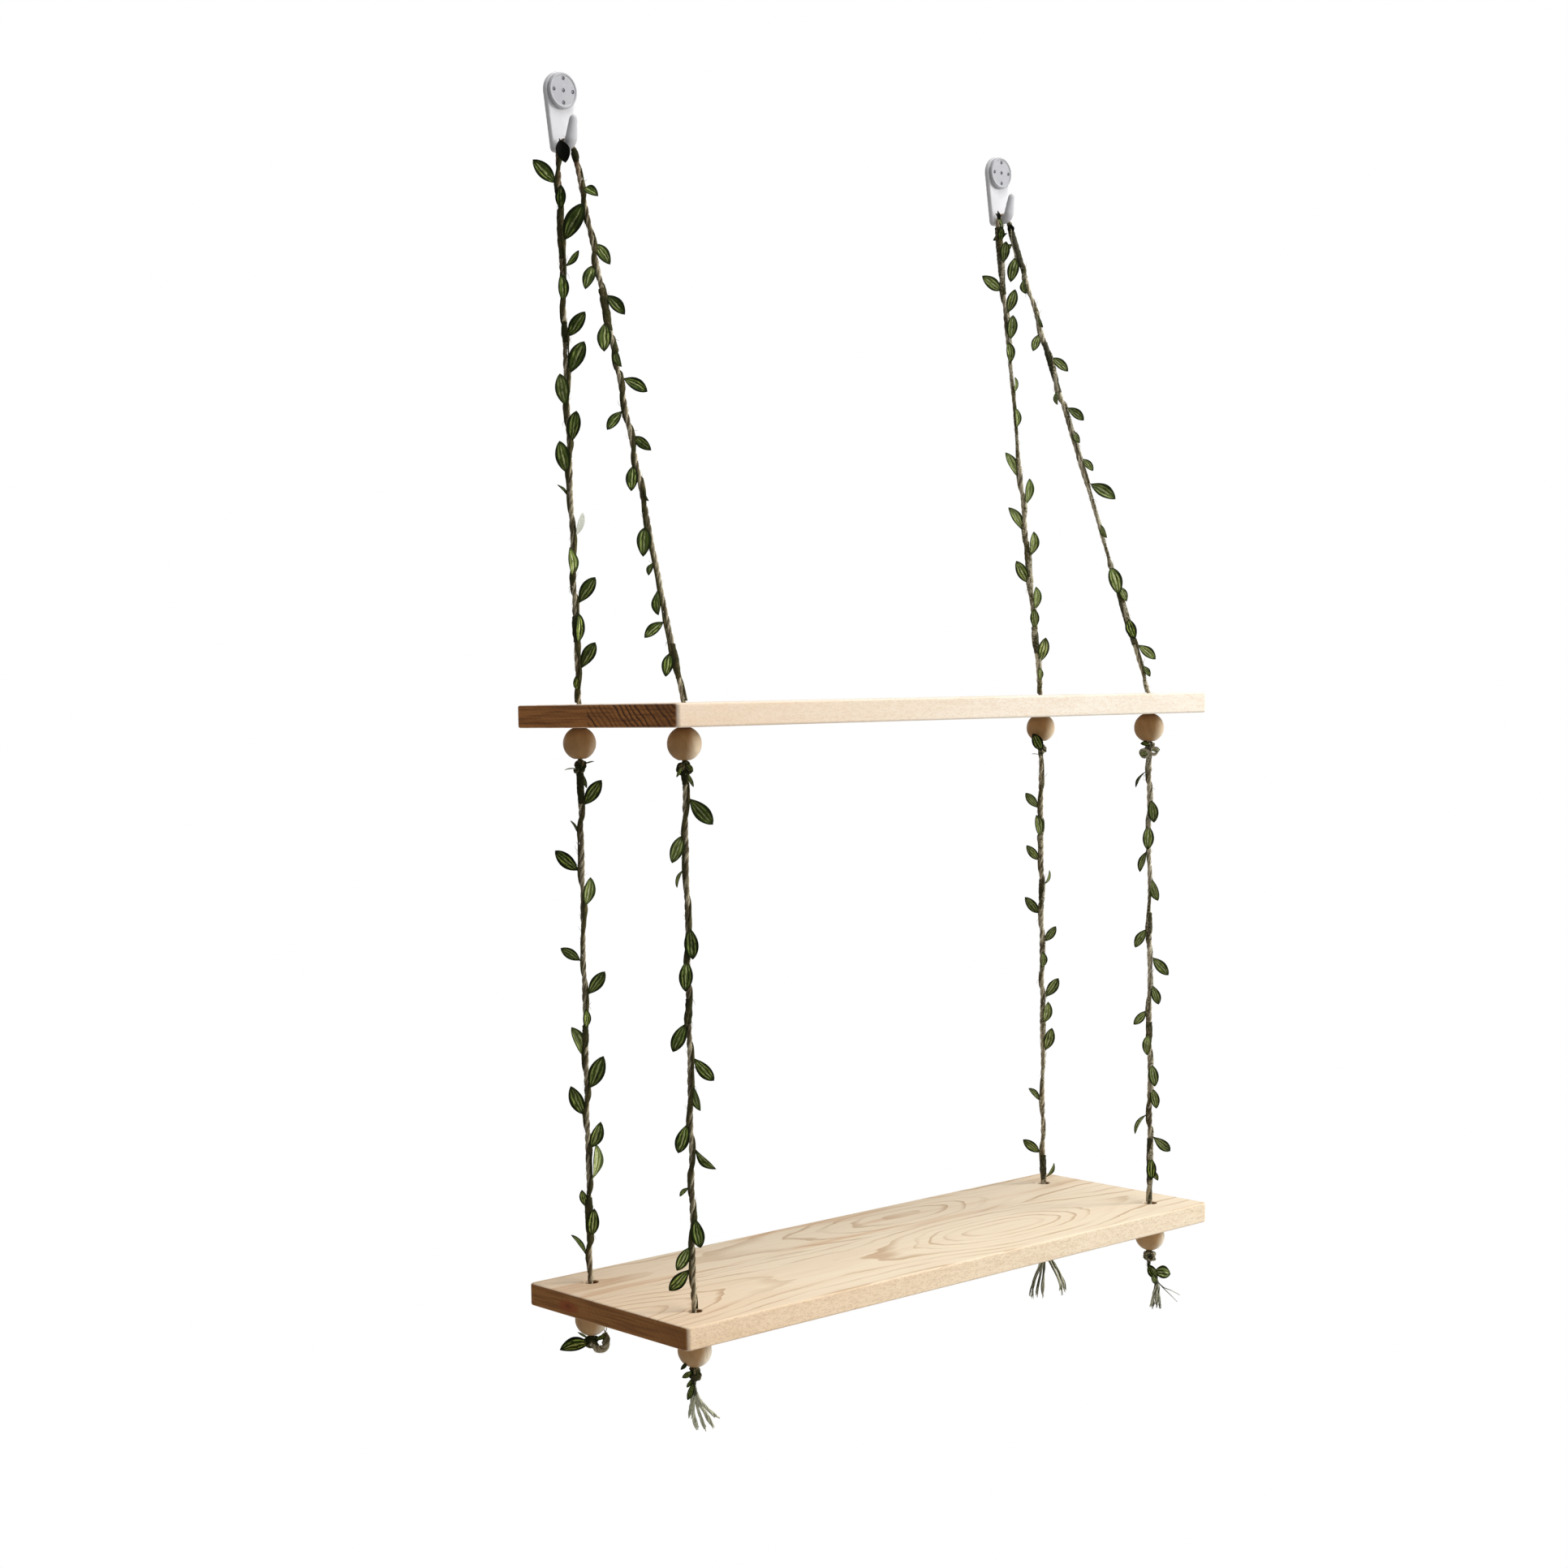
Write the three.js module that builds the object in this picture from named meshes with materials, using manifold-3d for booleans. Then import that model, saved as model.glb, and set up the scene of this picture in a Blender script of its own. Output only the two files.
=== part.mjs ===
// Hanging rope shelf: two pine boards on four knotted jute strands with a leaf garland wound round
// them, hung over two pinned wall hooks. Millimetres, +X to the right, +Y into the wall, +Z up.
// The origin lies on the wall, midway between the hooks and level with the tops of their saddles.

import * as THREE from 'three';
import { mergeVertices } from 'three/addons/utils/BufferGeometryUtils.js';
import Module from 'manifold-3d';

const wasm = await Module();
wasm.setup();

// Boards
const boardLength = 420;
const boardDepth = 130;
const boardThickness = 12;
const boardEdgeRadius = 1;
const boardCornerRadius = 2.5;
const wallGap = 1.5;
const saddleDrop = 295.5;
const tierSpacing = 310;
const holeEndInset = 25.3;
const holeRearInset = 21.7;
const holeFrontInset = 23.7;
const holeChamfer = 0.5;

// Rope, beads and knots
const ropeDiameter = 3.4;
const holeRoom = 2.3;
const beadDiameter = 17.6;
const beadHeight = 16.4;
const beadBoreRoom = 0.9;
const knotSwell = 1.2;

// Leaf garland
const stemDiameter = 1.5;
const leafLength = 16.5;
const leafWidth = 7.2;
const leafThickness = 0.6;
const leafFoldDepth = 0.9;
const stemTopInset = 7;
const stemBottomInset = 3;

// Wall hooks
const hookSpacing = 344;
const plateThickness = 3;
const plateEdgeRadius = 0.6;
const headRadius = 10.2;
const headRise = 26.9;
const footHalfWidth = 6.3;
const footDrop = 5;
const footCornerRadius = 2;
const prongHalfWidth = 3.2;
const prongThickness = 4.2;
const prongTipThickness = 3.2;
const prongRise = 13.5;
const valleyRadius = 2.9;
const ropePlateRoom = 1.3;
const loopSideRoom = 0.7;
const loopEndGap = 0.95;

// Pin caps and pins of the hooks
const capRadius = 9.45;
const capThickness = 1.9;
const capBevel = 0.9;
const spigotRadius = 4;
const spigotDepth = 2.4;
const pinCircleRadius = 6.3;
const pinRadius = 0.45;
const pinHeadRadius = 0.85;
const pinHeadHeight = 0.4;
const pinPointInset = 0.4;
const pinPointLength = 1.6;

// Frayed rope ends
const yarnDiameter = 1.3;
const yarnTipDiameter = 0.5;

// Clearance between pieces that touch, and the overrun of cutters
const touchGap = 0.3;
const overrun = 1;

// Facets and angles, in counts and degrees
const ropeSides = 8;
const stemSides = 5;
const stepsPerTurn = 8;
const holeSides = 12;
const beadSides = 14;
const capSides = 18;
const pinSides = 6;
const knotSides = 5;
const prongSides = 10;
const pinsRoundCap = 4;
const prongLean = 8;
const leafBearing = -43;
const longestTurn = 280;
const knotUprightTilt = 90;
const knotCrossTilt = 25;

// Sizes that follow from the driving ones
const ropeRadius = ropeDiameter / 2;
const stemRadius = stemDiameter / 2;
const windingRadius = ropeRadius + touchGap + stemRadius;
const holeRadius = ropeRadius + holeRoom;
const beadBoreRadius = ropeRadius + beadBoreRoom;
const knotTube = ropeRadius * 0.9;
const knotLoop = beadBoreRadius - knotTube + knotSwell;
const knotReach = knotLoop + knotTube;
const ropeOut = plateThickness + ropePlateRoom + ropeRadius;
const loopRadius = prongHalfWidth + loopSideRoom + ropeRadius;
const loopCentreHeight = touchGap + ropeRadius - loopRadius;
const upperTop = -saddleDrop;
const lowerTop = upperTop - tierSpacing;
const rearHoleY = -wallGap - holeRearInset;
const frontHoleY = -wallGap - boardDepth + holeFrontInset;
const holeX = boardLength / 2 - holeEndInset;
const beadDrop = boardThickness + touchGap + beadHeight / 2;
const knotDrop = boardThickness + touchGap + beadHeight + touchGap + knotReach;
const strandDrop = knotDrop + knotReach + touchGap + ropeRadius;
const capBackOut = plateThickness + touchGap;
const capFaceOut = capBackOut + capThickness;

const rope = { name: 'jute', colour: 0xb39c7a, roughness: 0.95, metalness: 0 };
const leafGreen = { name: 'garland', colour: 0x3f5a2a, roughness: 0.6, metalness: 0 };
const pine = { name: 'pine', colour: 0xe6cba4, roughness: 0.6, metalness: 0 };
const beadWood = { name: 'bead', colour: 0xc9a883, roughness: 0.5, metalness: 0 };
const whitePlastic = { name: 'hook plastic', colour: 0xe9eaee, roughness: 0.35, metalness: 0 };
const greyPlastic = { name: 'cap plastic', colour: 0xd9dbe2, roughness: 0.35, metalness: 0 };
const steel = { name: 'pin steel', colour: 0x8f9196, roughness: 0.35, metalness: 1 };

// The leaves of each strand, top to bottom: the share of the strand above the leaf's foot, the way
// it points in degrees round the strand from the leaf bearing, its size share, its roll and its lift.
const leafShares = {
  upper_rear_left: [
    [0.055, 150, 1.06, 0, 42], [0.105, 70, 0.8, 0, 78], [0.16, 20, 1.36, 0, 57],
    [0.204, 5, 0.68, 60, 47], [0.27, 95, 0.9, 30, 80], [0.332, 0, 1, 0, 54], [0.4, 5, 1.17, 0, 63],
    [0.458, 120, 1.07, 0, 76], [0.523, 30, 1.04, 0, 76], [0.58, 150, 1.1, 0, 78],
    [0.618, 180, 0.5, 70, 50], [0.693, 10, 0.81, 50, 70], [0.768, 100, 1.03, 30, 80],
    [0.814, 0, 1.03, 0, 55], [0.877, 115, 0.85, 20, 73], [0.933, 5, 1, 0, 59], [0.972, 100, 0.5, 0, 75],
  ],
  upper_front_left: [
    [0.07, 10, 0.52, 0, 35], [0.16, 0, 0.89, 0, 57], [0.198, 170, 0.93, 0, 63], [0.256, 0, 0.93, 0, 48],
    [0.304, 165, 1.06, 0, 78], [0.36, 60, 0.7, 40, 75], [0.41, 0, 0.92, 0, 30],
    [0.467, 180, 0.8, 0, 42], [0.515, 5, 0.75, 20, 42], [0.565, 165, 0.91, 0, 75],
    [0.61, 45, 0.5, 60, 70], [0.674, 165, 1.05, 0, 75], [0.74, 150, 0.5, 20, 60],
    [0.785, 160, 0.89, 45, 80], [0.842, 180, 0.8, 0, 30], [0.895, 170, 0.83, 0, 69],
  ],
  upper_rear_right: [
    [0.045, 60, 0.6, 0, 75], [0.09, 50, 0.85, 0, 71], [0.145, 150, 1, 0, 36], [0.193, 35, 0.93, 0, 64],
    [0.25, 40, 0.95, 0, 76], [0.3, 95, 0.85, 20, 80], [0.36, 60, 0.6, 50, 78], [0.435, 90, 0.8, 45, 80],
    [0.537, 170, 1.07, 0, 68], [0.597, 20, 1.02, 20, 76], [0.651, 175, 1.07, 0, 64],
    [0.706, 15, 0.96, 0, 77], [0.762, 165, 0.98, 0, 67], [0.82, 30, 0.9, 20, 82],
    [0.86, 85, 0.8, 0, 78], [0.932, 15, 0.98, 0, 72], [0.972, 80, 0.55, 20, 78],
  ],
  upper_front_right: [
    [0.045, 190, 0.54, 0, 27], [0.09, 200, 0.79, 0, 62], [0.145, 130, 0.7, 50, 75],
    [0.2, 70, 0.6, 60, 80], [0.238, 175, 0.75, 0, 56], [0.292, 0, 0.83, 0, 46],
    [0.362, 150, 0.6, 60, 75], [0.4, 0, 0.7, 0, 36], [0.45, 50, 0.6, 30, 70], [0.512, 20, 0.5, 0, 42],
    [0.558, 0, 0.92, 0, 38], [0.65, 60, 0.6, 50, 78], [0.736, 110, 0.93, 0, 86], [0.78, 45, 1.1, 0, 73],
    [0.845, 85, 0.9, 20, 80], [0.9, 0, 0.87, 0, 44],
  ],
  lower_rear_left: [
    [0.075, 5, 0.98, 0, 54], [0.12, 175, 0.5, 70, 60], [0.193, 180, 1.03, 0, 42],
    [0.262, 30, 1, 30, 77], [0.367, 180, 0.78, 15, 33], [0.434, 0, 0.96, 0, 53], [0.5, 80, 0.7, 40, 80],
    [0.555, 165, 1.06, 25, 70], [0.619, 10, 1.21, 0, 66], [0.671, 170, 1.08, 0, 67],
    [0.736, 15, 0.98, 15, 68], [0.8, -10, 1.3, 45, 82], [0.852, 160, 0.61, 0, 77],
    [0.91, 45, 0.98, 0, 80], [0.95, 185, 0.88, 80, 54],
  ],
  lower_front_left: [
    [0.055, 0, 1.02, 0, 49], [0.11, 165, 0.95, 0, 68], [0.175, 170, 0.6, 65, 70],
    [0.28, 40, 1.02, 0, 84], [0.34, 110, 1, 0, 81], [0.458, 170, 1, 0, 65], [0.523, 0, 0.98, 10, 49],
    [0.574, 25, 0.84, 35, 73], [0.645, 165, 0.99, 0, 71], [0.693, 0, 0.94, 45, 45],
    [0.821, 40, 0.98, 0, 77], [0.877, 165, 0.86, 0, 60], [0.92, 180, 0.96, 0, 46],
  ],
  lower_rear_right: [
    [0.13, 180, 0.65, 0, 51], [0.196, 130, 0.9, 20, 75], [0.25, 180, 0.76, 0, 52],
    [0.306, 0, 0.6, 65, 70], [0.373, 180, 0.85, 0, 51], [0.438, 5, 0.75, 0, 54], [0.5, 90, 0.7, 30, 80],
    [0.568, 0, 0.93, 0, 55], [0.627, 50, 0.9, 20, 76], [0.692, 15, 0.96, 0, 73],
    [0.808, 180, 0.67, 40, 49], [0.93, 180, 0.85, 0, 39], [0.965, 0, 0.54, 75, 54],
  ],
  lower_front_right: [
    [0.04, 180, 0.71, 80, 57], [0.1, 60, 0.9, 0, 78], [0.155, 120, 0.96, 0, 86],
    [0.215, 165, 0.82, 55, 71], [0.275, 30, 0.87, 35, 74], [0.387, 170, 0.82, 30, 57],
    [0.45, 0, 0.91, 0, 49], [0.51, 35, 0.79, 0, 70], [0.568, 180, 0.72, 0, 48],
    [0.62, 120, 0.8, 30, 80], [0.686, 60, 0.87, 0, 76], [0.74, 35, 0.8, 0, 77],
    [0.8, 175, 0.87, 80, 59], [0.85, 0, 0.87, 0, 41], [0.895, 85, 0.85, 0, 78],
    [0.925, 30, 0.45, 0, 60],
  ],
};

// The blade's half width along a leaf, as shares of its length and of its half width
const bladeShares = [[0.2, 0.62], [0.5, 1], [0.8, 0.66]];

// The routes of the rope ends below the lower knots, and of the yarns that each one frays into.
// Every point is measured from the knot's centre: along the leaf bearing, out from it, and up.
const tailRoutes = {
  rear_left: {
    trunk: [[0, 0, 0], [2, 0, -3], [6, 0, -4.5], [10.5, 0.5, -2.5], [11.6, 1, 3], [10, 1, 8]],
    yarns: [],
  },
  front_left: {
    trunk: [[0, 0, 0], [-0.8, 0, -5], [-0.4, 0, -11]],
    yarns: [
      [[-0.4, 0, -9], [-0.9, 1, -15], [0, 0.6, -21], [2.2, 0.5, -26]],
      [[-0.4, 0, -9], [1.4, -1, -15], [5, -0.5, -21], [8.8, 0, -26.5]],
      [[-0.4, 0, -9], [2.4, 1, -14], [7, 1.6, -18.5], [12, 2, -21]],
      [[-0.4, 0, -9], [-1.4, -1.8, -14], [-1.8, -2.6, -19], [-1, -3, -22]],
    ],
  },
  rear_right: {
    trunk: [[0, 0, 0], [0, 0, -6], [0.5, 0, -13]],
    yarns: [
      [[0.5, 0, -11], [-3, 1, -22], [-6, 0, -30], [-7.5, 0, -38.5]],
      [[0.5, 0, -11], [-1.4, -1, -23], [-3.2, -1, -31], [-4.4, -1, -38]],
      [[0.5, 0, -11], [0, 1.5, -23], [-0.8, 2, -32], [-1.2, 2, -39]],
      [[0.5, 0, -11], [4.5, 0.5, -19], [9.5, 0, -28], [11, 0, -37]],
      [[0.5, 0, -11], [5.5, -2, -18], [11.5, -2.5, -27], [14.5, -2.5, -36.5]],
    ],
  },
  front_right: {
    trunk: [[0, 0, 0], [-0.6, 0, -6], [2.6, 0.4, -13], [4, 0, -17]],
    yarns: [
      [[4, 0, -15.5], [2.6, 0.8, -22], [2, 0, -27], [1.2, 0, -31.5]],
      [[4, 0, -15.5], [5.4, -0.8, -21], [6, -1, -26], [5.8, -1, -31]],
      [[4, 0, -15.5], [8, 1, -20], [12, 1, -24], [16, 1, -28]],
    ],
  },
};

const yAxis = new THREE.Vector3(0, 1, 0);

// A closed, indexed copy of a geometry whose faces point out, with no empty triangles.
function closed(geometry) {
  const bare = new THREE.BufferGeometry();
  bare.setAttribute('position', geometry.getAttribute('position').clone());
  if (geometry.index) bare.setIndex(geometry.index.clone());
  const merged = mergeVertices(bare);
  const position = merged.getAttribute('position');
  const corner = [new THREE.Vector3(), new THREE.Vector3(), new THREE.Vector3()];
  const kept = [];
  let volume = 0;
  for (let i = 0; i < merged.index.count; i += 3) {
    const face = [0, 1, 2].map((k) => merged.index.getX(i + k));
    if (face[0] === face[1] || face[1] === face[2] || face[2] === face[0]) continue;
    face.forEach((vertex, k) => corner[k].fromBufferAttribute(position, vertex));
    volume += corner[0].dot(corner[1].clone().cross(corner[2]));
    kept.push(face);
  }
  if (volume < 0) kept.forEach((face) => face.reverse());
  merged.setIndex(kept.flat());
  return merged;
}

function toSolid(geometry) {
  const tidy = closed(geometry);
  return new wasm.Manifold(new wasm.Mesh({
    numProp: 3,
    vertProperties: tidy.getAttribute('position').array,
    triVerts: new Uint32Array(tidy.index.array),
  }));
}

function toGeometry(solid) {
  const mesh = solid.getMesh();
  const geometry = new THREE.BufferGeometry();
  geometry.setAttribute('position', new THREE.BufferAttribute(new Float32Array(mesh.vertProperties), 3));
  geometry.setIndex(new THREE.BufferAttribute(new Uint32Array(mesh.triVerts), 1));
  return geometry;
}

function joined(geometries) {
  const [first, ...rest] = geometries.map(toSolid);
  return toGeometry(rest.reduce((sum, solid) => sum.add(solid), first));
}

function cutBy(geometry, cutters) {
  return toGeometry(cutters.map(toSolid).reduce((left, cutter) => left.subtract(cutter), toSolid(geometry)));
}

// A named mesh with the flat look of its facets.
function piece(name, geometry, finish) {
  const shown = closed(geometry).toNonIndexed();
  shown.computeVertexNormals();
  const material = new THREE.MeshStandardMaterial({
    color: finish.colour,
    roughness: finish.roughness,
    metalness: finish.metalness,
  });
  material.name = finish.name;
  const mesh = new THREE.Mesh(shown, material);
  mesh.name = name;
  return mesh;
}

// A solid of revolution about Y from [radius, height] points.
function turned(points, sides) {
  return new THREE.LatheGeometry(points.map(([radius, height]) => new THREE.Vector2(radius, height)), sides);
}

// A straight stretch of rope along +Y with a dome beyond its top, and one or a flat end at its foot.
function stretch(length, domedFoot) {
  const half = ropeRadius * Math.SQRT1_2;
  const foot = domedFoot ? [[0, -ropeRadius], [half, -half], [ropeRadius, 0]] : [[0, 0], [ropeRadius, 0]];
  const head = [[ropeRadius, length], [half, length + half], [0, length + ropeRadius]];
  return turned([...foot, ...head], ropeSides);
}

// A closed skin over rings of equally many points, drawn to a point at the ends that are points.
function lofted(rings) {
  const vertices = rings.flat();
  const starts = [];
  rings.reduce((start, ring) => {
    starts.push(start);
    return start + ring.length;
  }, 0);
  const faces = [];
  for (let i = 0; i + 1 < rings.length; i += 1) {
    const count = Math.max(rings[i].length, rings[i + 1].length);
    for (let k = 0; k < count; k += 1) {
      const next = (k + 1) % count;
      const a = starts[i] + (rings[i].length > 1 ? k : 0);
      const b = starts[i] + (rings[i].length > 1 ? next : 0);
      const c = starts[i + 1] + (rings[i + 1].length > 1 ? k : 0);
      const d = starts[i + 1] + (rings[i + 1].length > 1 ? next : 0);
      faces.push([a, b, d], [a, d, c]);
    }
  }
  const geometry = new THREE.BufferGeometry();
  const places = vertices.flatMap((vertex) => vertex.toArray());
  geometry.setAttribute('position', new THREE.Float32BufferAttribute(places, 3));
  geometry.setIndex(faces.flat());
  return geometry;
}

function tube(path, radius, sides, steps) {
  const corners = [];
  for (let k = 0; k < sides; k += 1) {
    const turn = (2 * Math.PI * k) / sides;
    corners.push(new THREE.Vector2(radius * Math.cos(turn), radius * Math.sin(turn)));
  }
  const shape = new THREE.Shape(corners);
  return new THREE.ExtrudeGeometry(shape, { extrudePath: path, steps, bevelEnabled: false });
}

// A tube that thins towards its far end, along a smooth curve through the points.
function taperedTube(points, startRadius, endRadius, sides, steps) {
  const path = new THREE.CatmullRomCurve3(points);
  const frames = path.computeFrenetFrames(steps, false);
  const rings = [[points[0]]];
  for (let i = 0; i <= steps; i += 1) {
    const centre = path.getPointAt(i / steps);
    const radius = startRadius + ((endRadius - startRadius) * i) / steps;
    const ring = [];
    for (let k = 0; k < sides; k += 1) {
      const turn = (2 * Math.PI * k) / sides;
      ring.push(centre.clone()
        .addScaledVector(frames.normals[i], radius * Math.cos(turn))
        .addScaledVector(frames.binormals[i], radius * Math.sin(turn)));
    }
    rings.push(ring);
  }
  rings.push([points[points.length - 1]]);
  return lofted(rings);
}

// Boards

function roundedRectangle(width, depth, radius) {
  const x = width / 2 - radius;
  const y = depth / 2 - radius;
  const quarter = Math.PI / 2;
  const shape = new THREE.Shape();
  shape.absarc(x, y, radius, 0, quarter);
  shape.absarc(-x, y, radius, quarter, 2 * quarter);
  shape.absarc(-x, -y, radius, 2 * quarter, 3 * quarter);
  shape.absarc(x, -y, radius, 3 * quarter, 4 * quarter);
  return shape;
}

function holeCutter(x, y) {
  const wide = holeRadius + holeChamfer;
  const top = overrun;
  const bottom = -boardThickness - overrun;
  const cutter = turned([
    [0, bottom], [wide + overrun, bottom], [wide, -boardThickness],
    [holeRadius, -boardThickness + holeChamfer], [holeRadius, -holeChamfer],
    [wide, 0], [wide + overrun, top], [0, top],
  ], holeSides);
  return cutter.rotateX(Math.PI / 2).translate(x, y, 0);
}

// A board whose top lies at height 0 and whose rear edge stands the wall gap off the wall.
function board() {
  const blank = new THREE.ExtrudeGeometry(roundedRectangle(boardLength, boardDepth, boardCornerRadius), {
    depth: boardThickness - 2 * boardEdgeRadius,
    bevelThickness: boardEdgeRadius,
    bevelSize: boardEdgeRadius,
    bevelOffset: -boardEdgeRadius,
    bevelSegments: 2,
    curveSegments: 1,
  });
  blank.translate(0, -wallGap - boardDepth / 2, boardEdgeRadius - boardThickness);
  const cutters = [-holeX, holeX].flatMap((x) => [rearHoleY, frontHoleY].map((y) => holeCutter(x, y)));
  return cutBy(blank, cutters);
}

// A drilled ball with a flat round each end of its bore.
function bead() {
  const half = beadHeight / 2;
  const radius = beadDiameter / 2;
  const flat = Math.sqrt(Math.max(radius * radius - half * half, beadBoreRadius * beadBoreRadius));
  const start = Math.atan2(half, flat);
  const profile = [[beadBoreRadius, -half]];
  const steps = 5;
  for (let i = 0; i <= steps; i += 1) {
    const turn = -start + (2 * start * i) / steps;
    profile.push([radius * Math.cos(turn), radius * Math.sin(turn)]);
  }
  profile.push([beadBoreRadius, half], [beadBoreRadius, -half]);
  return turned(profile, beadSides).rotateX(Math.PI / 2);
}

// Rope

// The stretch of rope in a board's hole and its bead, from just under the strand above to the knot.
function core(bottom) {
  const top = -ropeRadius - touchGap;
  const stub = turned([[0, bottom], [ropeRadius, bottom], [ropeRadius, top], [0, top]], ropeSides);
  return stub.rotateX(Math.PI / 2);
}

// Two turns of rope pulled tight across each other, one upright and too wide to slip into the bead.
function knotTurns() {
  return [knotUprightTilt, knotCrossTilt].map((degrees) => {
    const turn = new THREE.TorusGeometry(knotLoop, knotTube, knotSides, 8);
    turn.rotateX(THREE.MathUtils.degToRad(degrees));
    turn.rotateZ(THREE.MathUtils.degToRad(leafBearing));
    return turn;
  });
}

function knotHeart() {
  return new THREE.SphereGeometry(knotLoop, 6, 4);
}

// The hanging rope's route over a saddle: an arc in the plane of the wall.
class SaddleArc extends THREE.Curve {
  getPoint(t, target = new THREE.Vector3()) {
    const half = Math.PI / 2 - loopEndGap / loopRadius;
    const turn = half * (2 * t - 1);
    return target.set(loopRadius * Math.sin(turn), -ropeOut, loopCentreHeight + loopRadius * Math.cos(turn));
  }
}

// Garland: a stem wound round a strand, leaf by leaf, in the strand's frame: +Y up along the strand,
// +X along the leaf bearing and +Z out from it.

function stemPoint(height, turn, target = new THREE.Vector3()) {
  const angle = THREE.MathUtils.degToRad(turn);
  return target.set(windingRadius * Math.cos(angle), height, windingRadius * Math.sin(angle));
}

// The stem's turn at each leaf, carried on in one direction, but straight between leaves on one side.
function stemStations(leaves, length) {
  const stations = [];
  let turn = leaves[0][1];
  stations.push({ height: length - stemTopInset, turn });
  leaves.forEach(([share, way]) => {
    const step = (((way - turn) % 360) + 360) % 360;
    turn += step > longestTurn ? step - 360 : step;
    stations.push({ height: length * (1 - share), turn });
  });
  stations.push({ height: stemBottomInset, turn });
  return stations;
}

// The stem's route through its stations, divided evenly between one station and the next.
class StemPath extends THREE.Curve {
  constructor(stations) {
    super();
    this.points = [stemPoint(stations[0].height, stations[0].turn)];
    stations.slice(1).forEach((to, index) => {
      const from = stations[index];
      const steps = Math.max(1, Math.ceil((Math.abs(to.turn - from.turn) * stepsPerTurn) / 360));
      for (let i = 1; i <= steps; i += 1) {
        const part = i / steps;
        const height = from.height + (to.height - from.height) * part;
        this.points.push(stemPoint(height, from.turn + (to.turn - from.turn) * part));
      }
    });
  }

  getPoint(t, target = new THREE.Vector3()) {
    const place = t * (this.points.length - 1);
    const index = Math.min(Math.floor(place), this.points.length - 2);
    return target.lerpVectors(this.points[index], this.points[index + 1], place - index);
  }

  getUtoTmapping(u) {
    return u;
  }
}

// A pointed blade with a fold along its midrib, from its foot in the stem.
function leaf(foot, turn, growth, [size, roll, rise]) {
  const angle = THREE.MathUtils.degToRad(turn);
  const lift = THREE.MathUtils.degToRad(rise);
  const outward = new THREE.Vector3(Math.cos(angle), 0, Math.sin(angle));
  const axis = outward.clone().multiplyScalar(Math.cos(lift)).addScaledVector(yAxis, growth * Math.sin(lift));
  const face = new THREE.Vector3(0, 0, 1).addScaledVector(axis, -axis.z).normalize();
  face.applyAxisAngle(axis, THREE.MathUtils.degToRad(roll));
  const across = axis.clone().cross(face);
  const at = (along, side, up) => foot.clone()
    .addScaledVector(axis, along).addScaledVector(across, side).addScaledVector(face, up);
  const rings = bladeShares.map(([lengthShare, widthShare]) => {
    const along = lengthShare * leafLength * size;
    const side = widthShare * (leafWidth / 2) * size;
    const lifted = widthShare * leafFoldDepth * size;
    return [
      at(along, side, lifted),
      at(along, 0, leafThickness / 2),
      at(along, -side, lifted),
      at(along, 0, -leafThickness / 2),
    ];
  });
  return lofted([[at(0, 0, 0)], ...rings, [at(leafLength * size, 0, 0)]]);
}

// The least gap between points of a winding that lie at least half a turn apart.
function leastGap(stations, points) {
  const whole = Math.abs(stations[stations.length - 1].turn - stations[0].turn) / 360;
  const apart = Math.ceil(points.length / Math.max(2 * whole, 1));
  let least = Infinity;
  points.forEach((point, i) => points.slice(i + apart).forEach((other) => {
    least = Math.min(least, point.distanceTo(other) - stemDiameter);
  }));
  return least;
}

function garland(name, length, growth) {
  const leaves = leafShares[name];
  const stations = stemStations(leaves, length);
  const path = new StemPath(stations);
  const stem = tube(path, stemRadius, stemSides, path.points.length - 1);
  const gap = leastGap(stations, path.points);
  console.log(`garland_${name}: least gap of the stem to itself ${gap.toFixed(1)} mm`);
  const blades = leaves.map(([share, way, ...form]) => (
    leaf(stemPoint(length * (1 - share), way), way, growth, form)
  ));
  return joined([stem, ...blades]);
}

// Hooks, each in its own frame: X = 0 on its middle, the wall at Y = 0 and the saddle's top at Z = 0

function plateOutline() {
  const taper = Math.asin((headRadius - footHalfWidth) / (headRise + footDrop));
  const shape = new THREE.Shape();
  const cornerX = footHalfWidth - footCornerRadius;
  const cornerY = footCornerRadius - footDrop;
  shape.absarc(0, headRise, headRadius, -taper, Math.PI + taper);
  shape.absarc(-cornerX, cornerY, footCornerRadius, Math.PI, 1.5 * Math.PI);
  shape.absarc(cornerX, cornerY, footCornerRadius, 1.5 * Math.PI, 2 * Math.PI);
  return shape;
}

// A round cutter or boss that stands out from the wall between two distances from it.
function post(radius, x, z, from, to, sides) {
  const shape = turned([[0, -to], [radius, -to], [radius, -from], [0, -from]], sides);
  return shape.translate(x, 0, z);
}

function plate() {
  const blank = new THREE.ExtrudeGeometry(plateOutline(), {
    depth: plateThickness - 2 * plateEdgeRadius,
    bevelThickness: plateEdgeRadius,
    bevelSize: plateEdgeRadius,
    bevelOffset: -plateEdgeRadius,
    bevelSegments: 1,
    curveSegments: 8,
  });
  blank.translate(0, 0, plateEdgeRadius);
  blank.rotateX(Math.PI / 2);
  return blank;
}

function ellipseRing(centre, across, up, halfWidth, halfHeight) {
  const ring = [];
  for (let k = 0; k < prongSides; k += 1) {
    const turn = (2 * Math.PI * k) / prongSides;
    ring.push(centre.clone()
      .addScaledVector(across, halfWidth * Math.cos(turn))
      .addScaledVector(up, halfHeight * Math.sin(turn)));
  }
  return ring;
}

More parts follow.
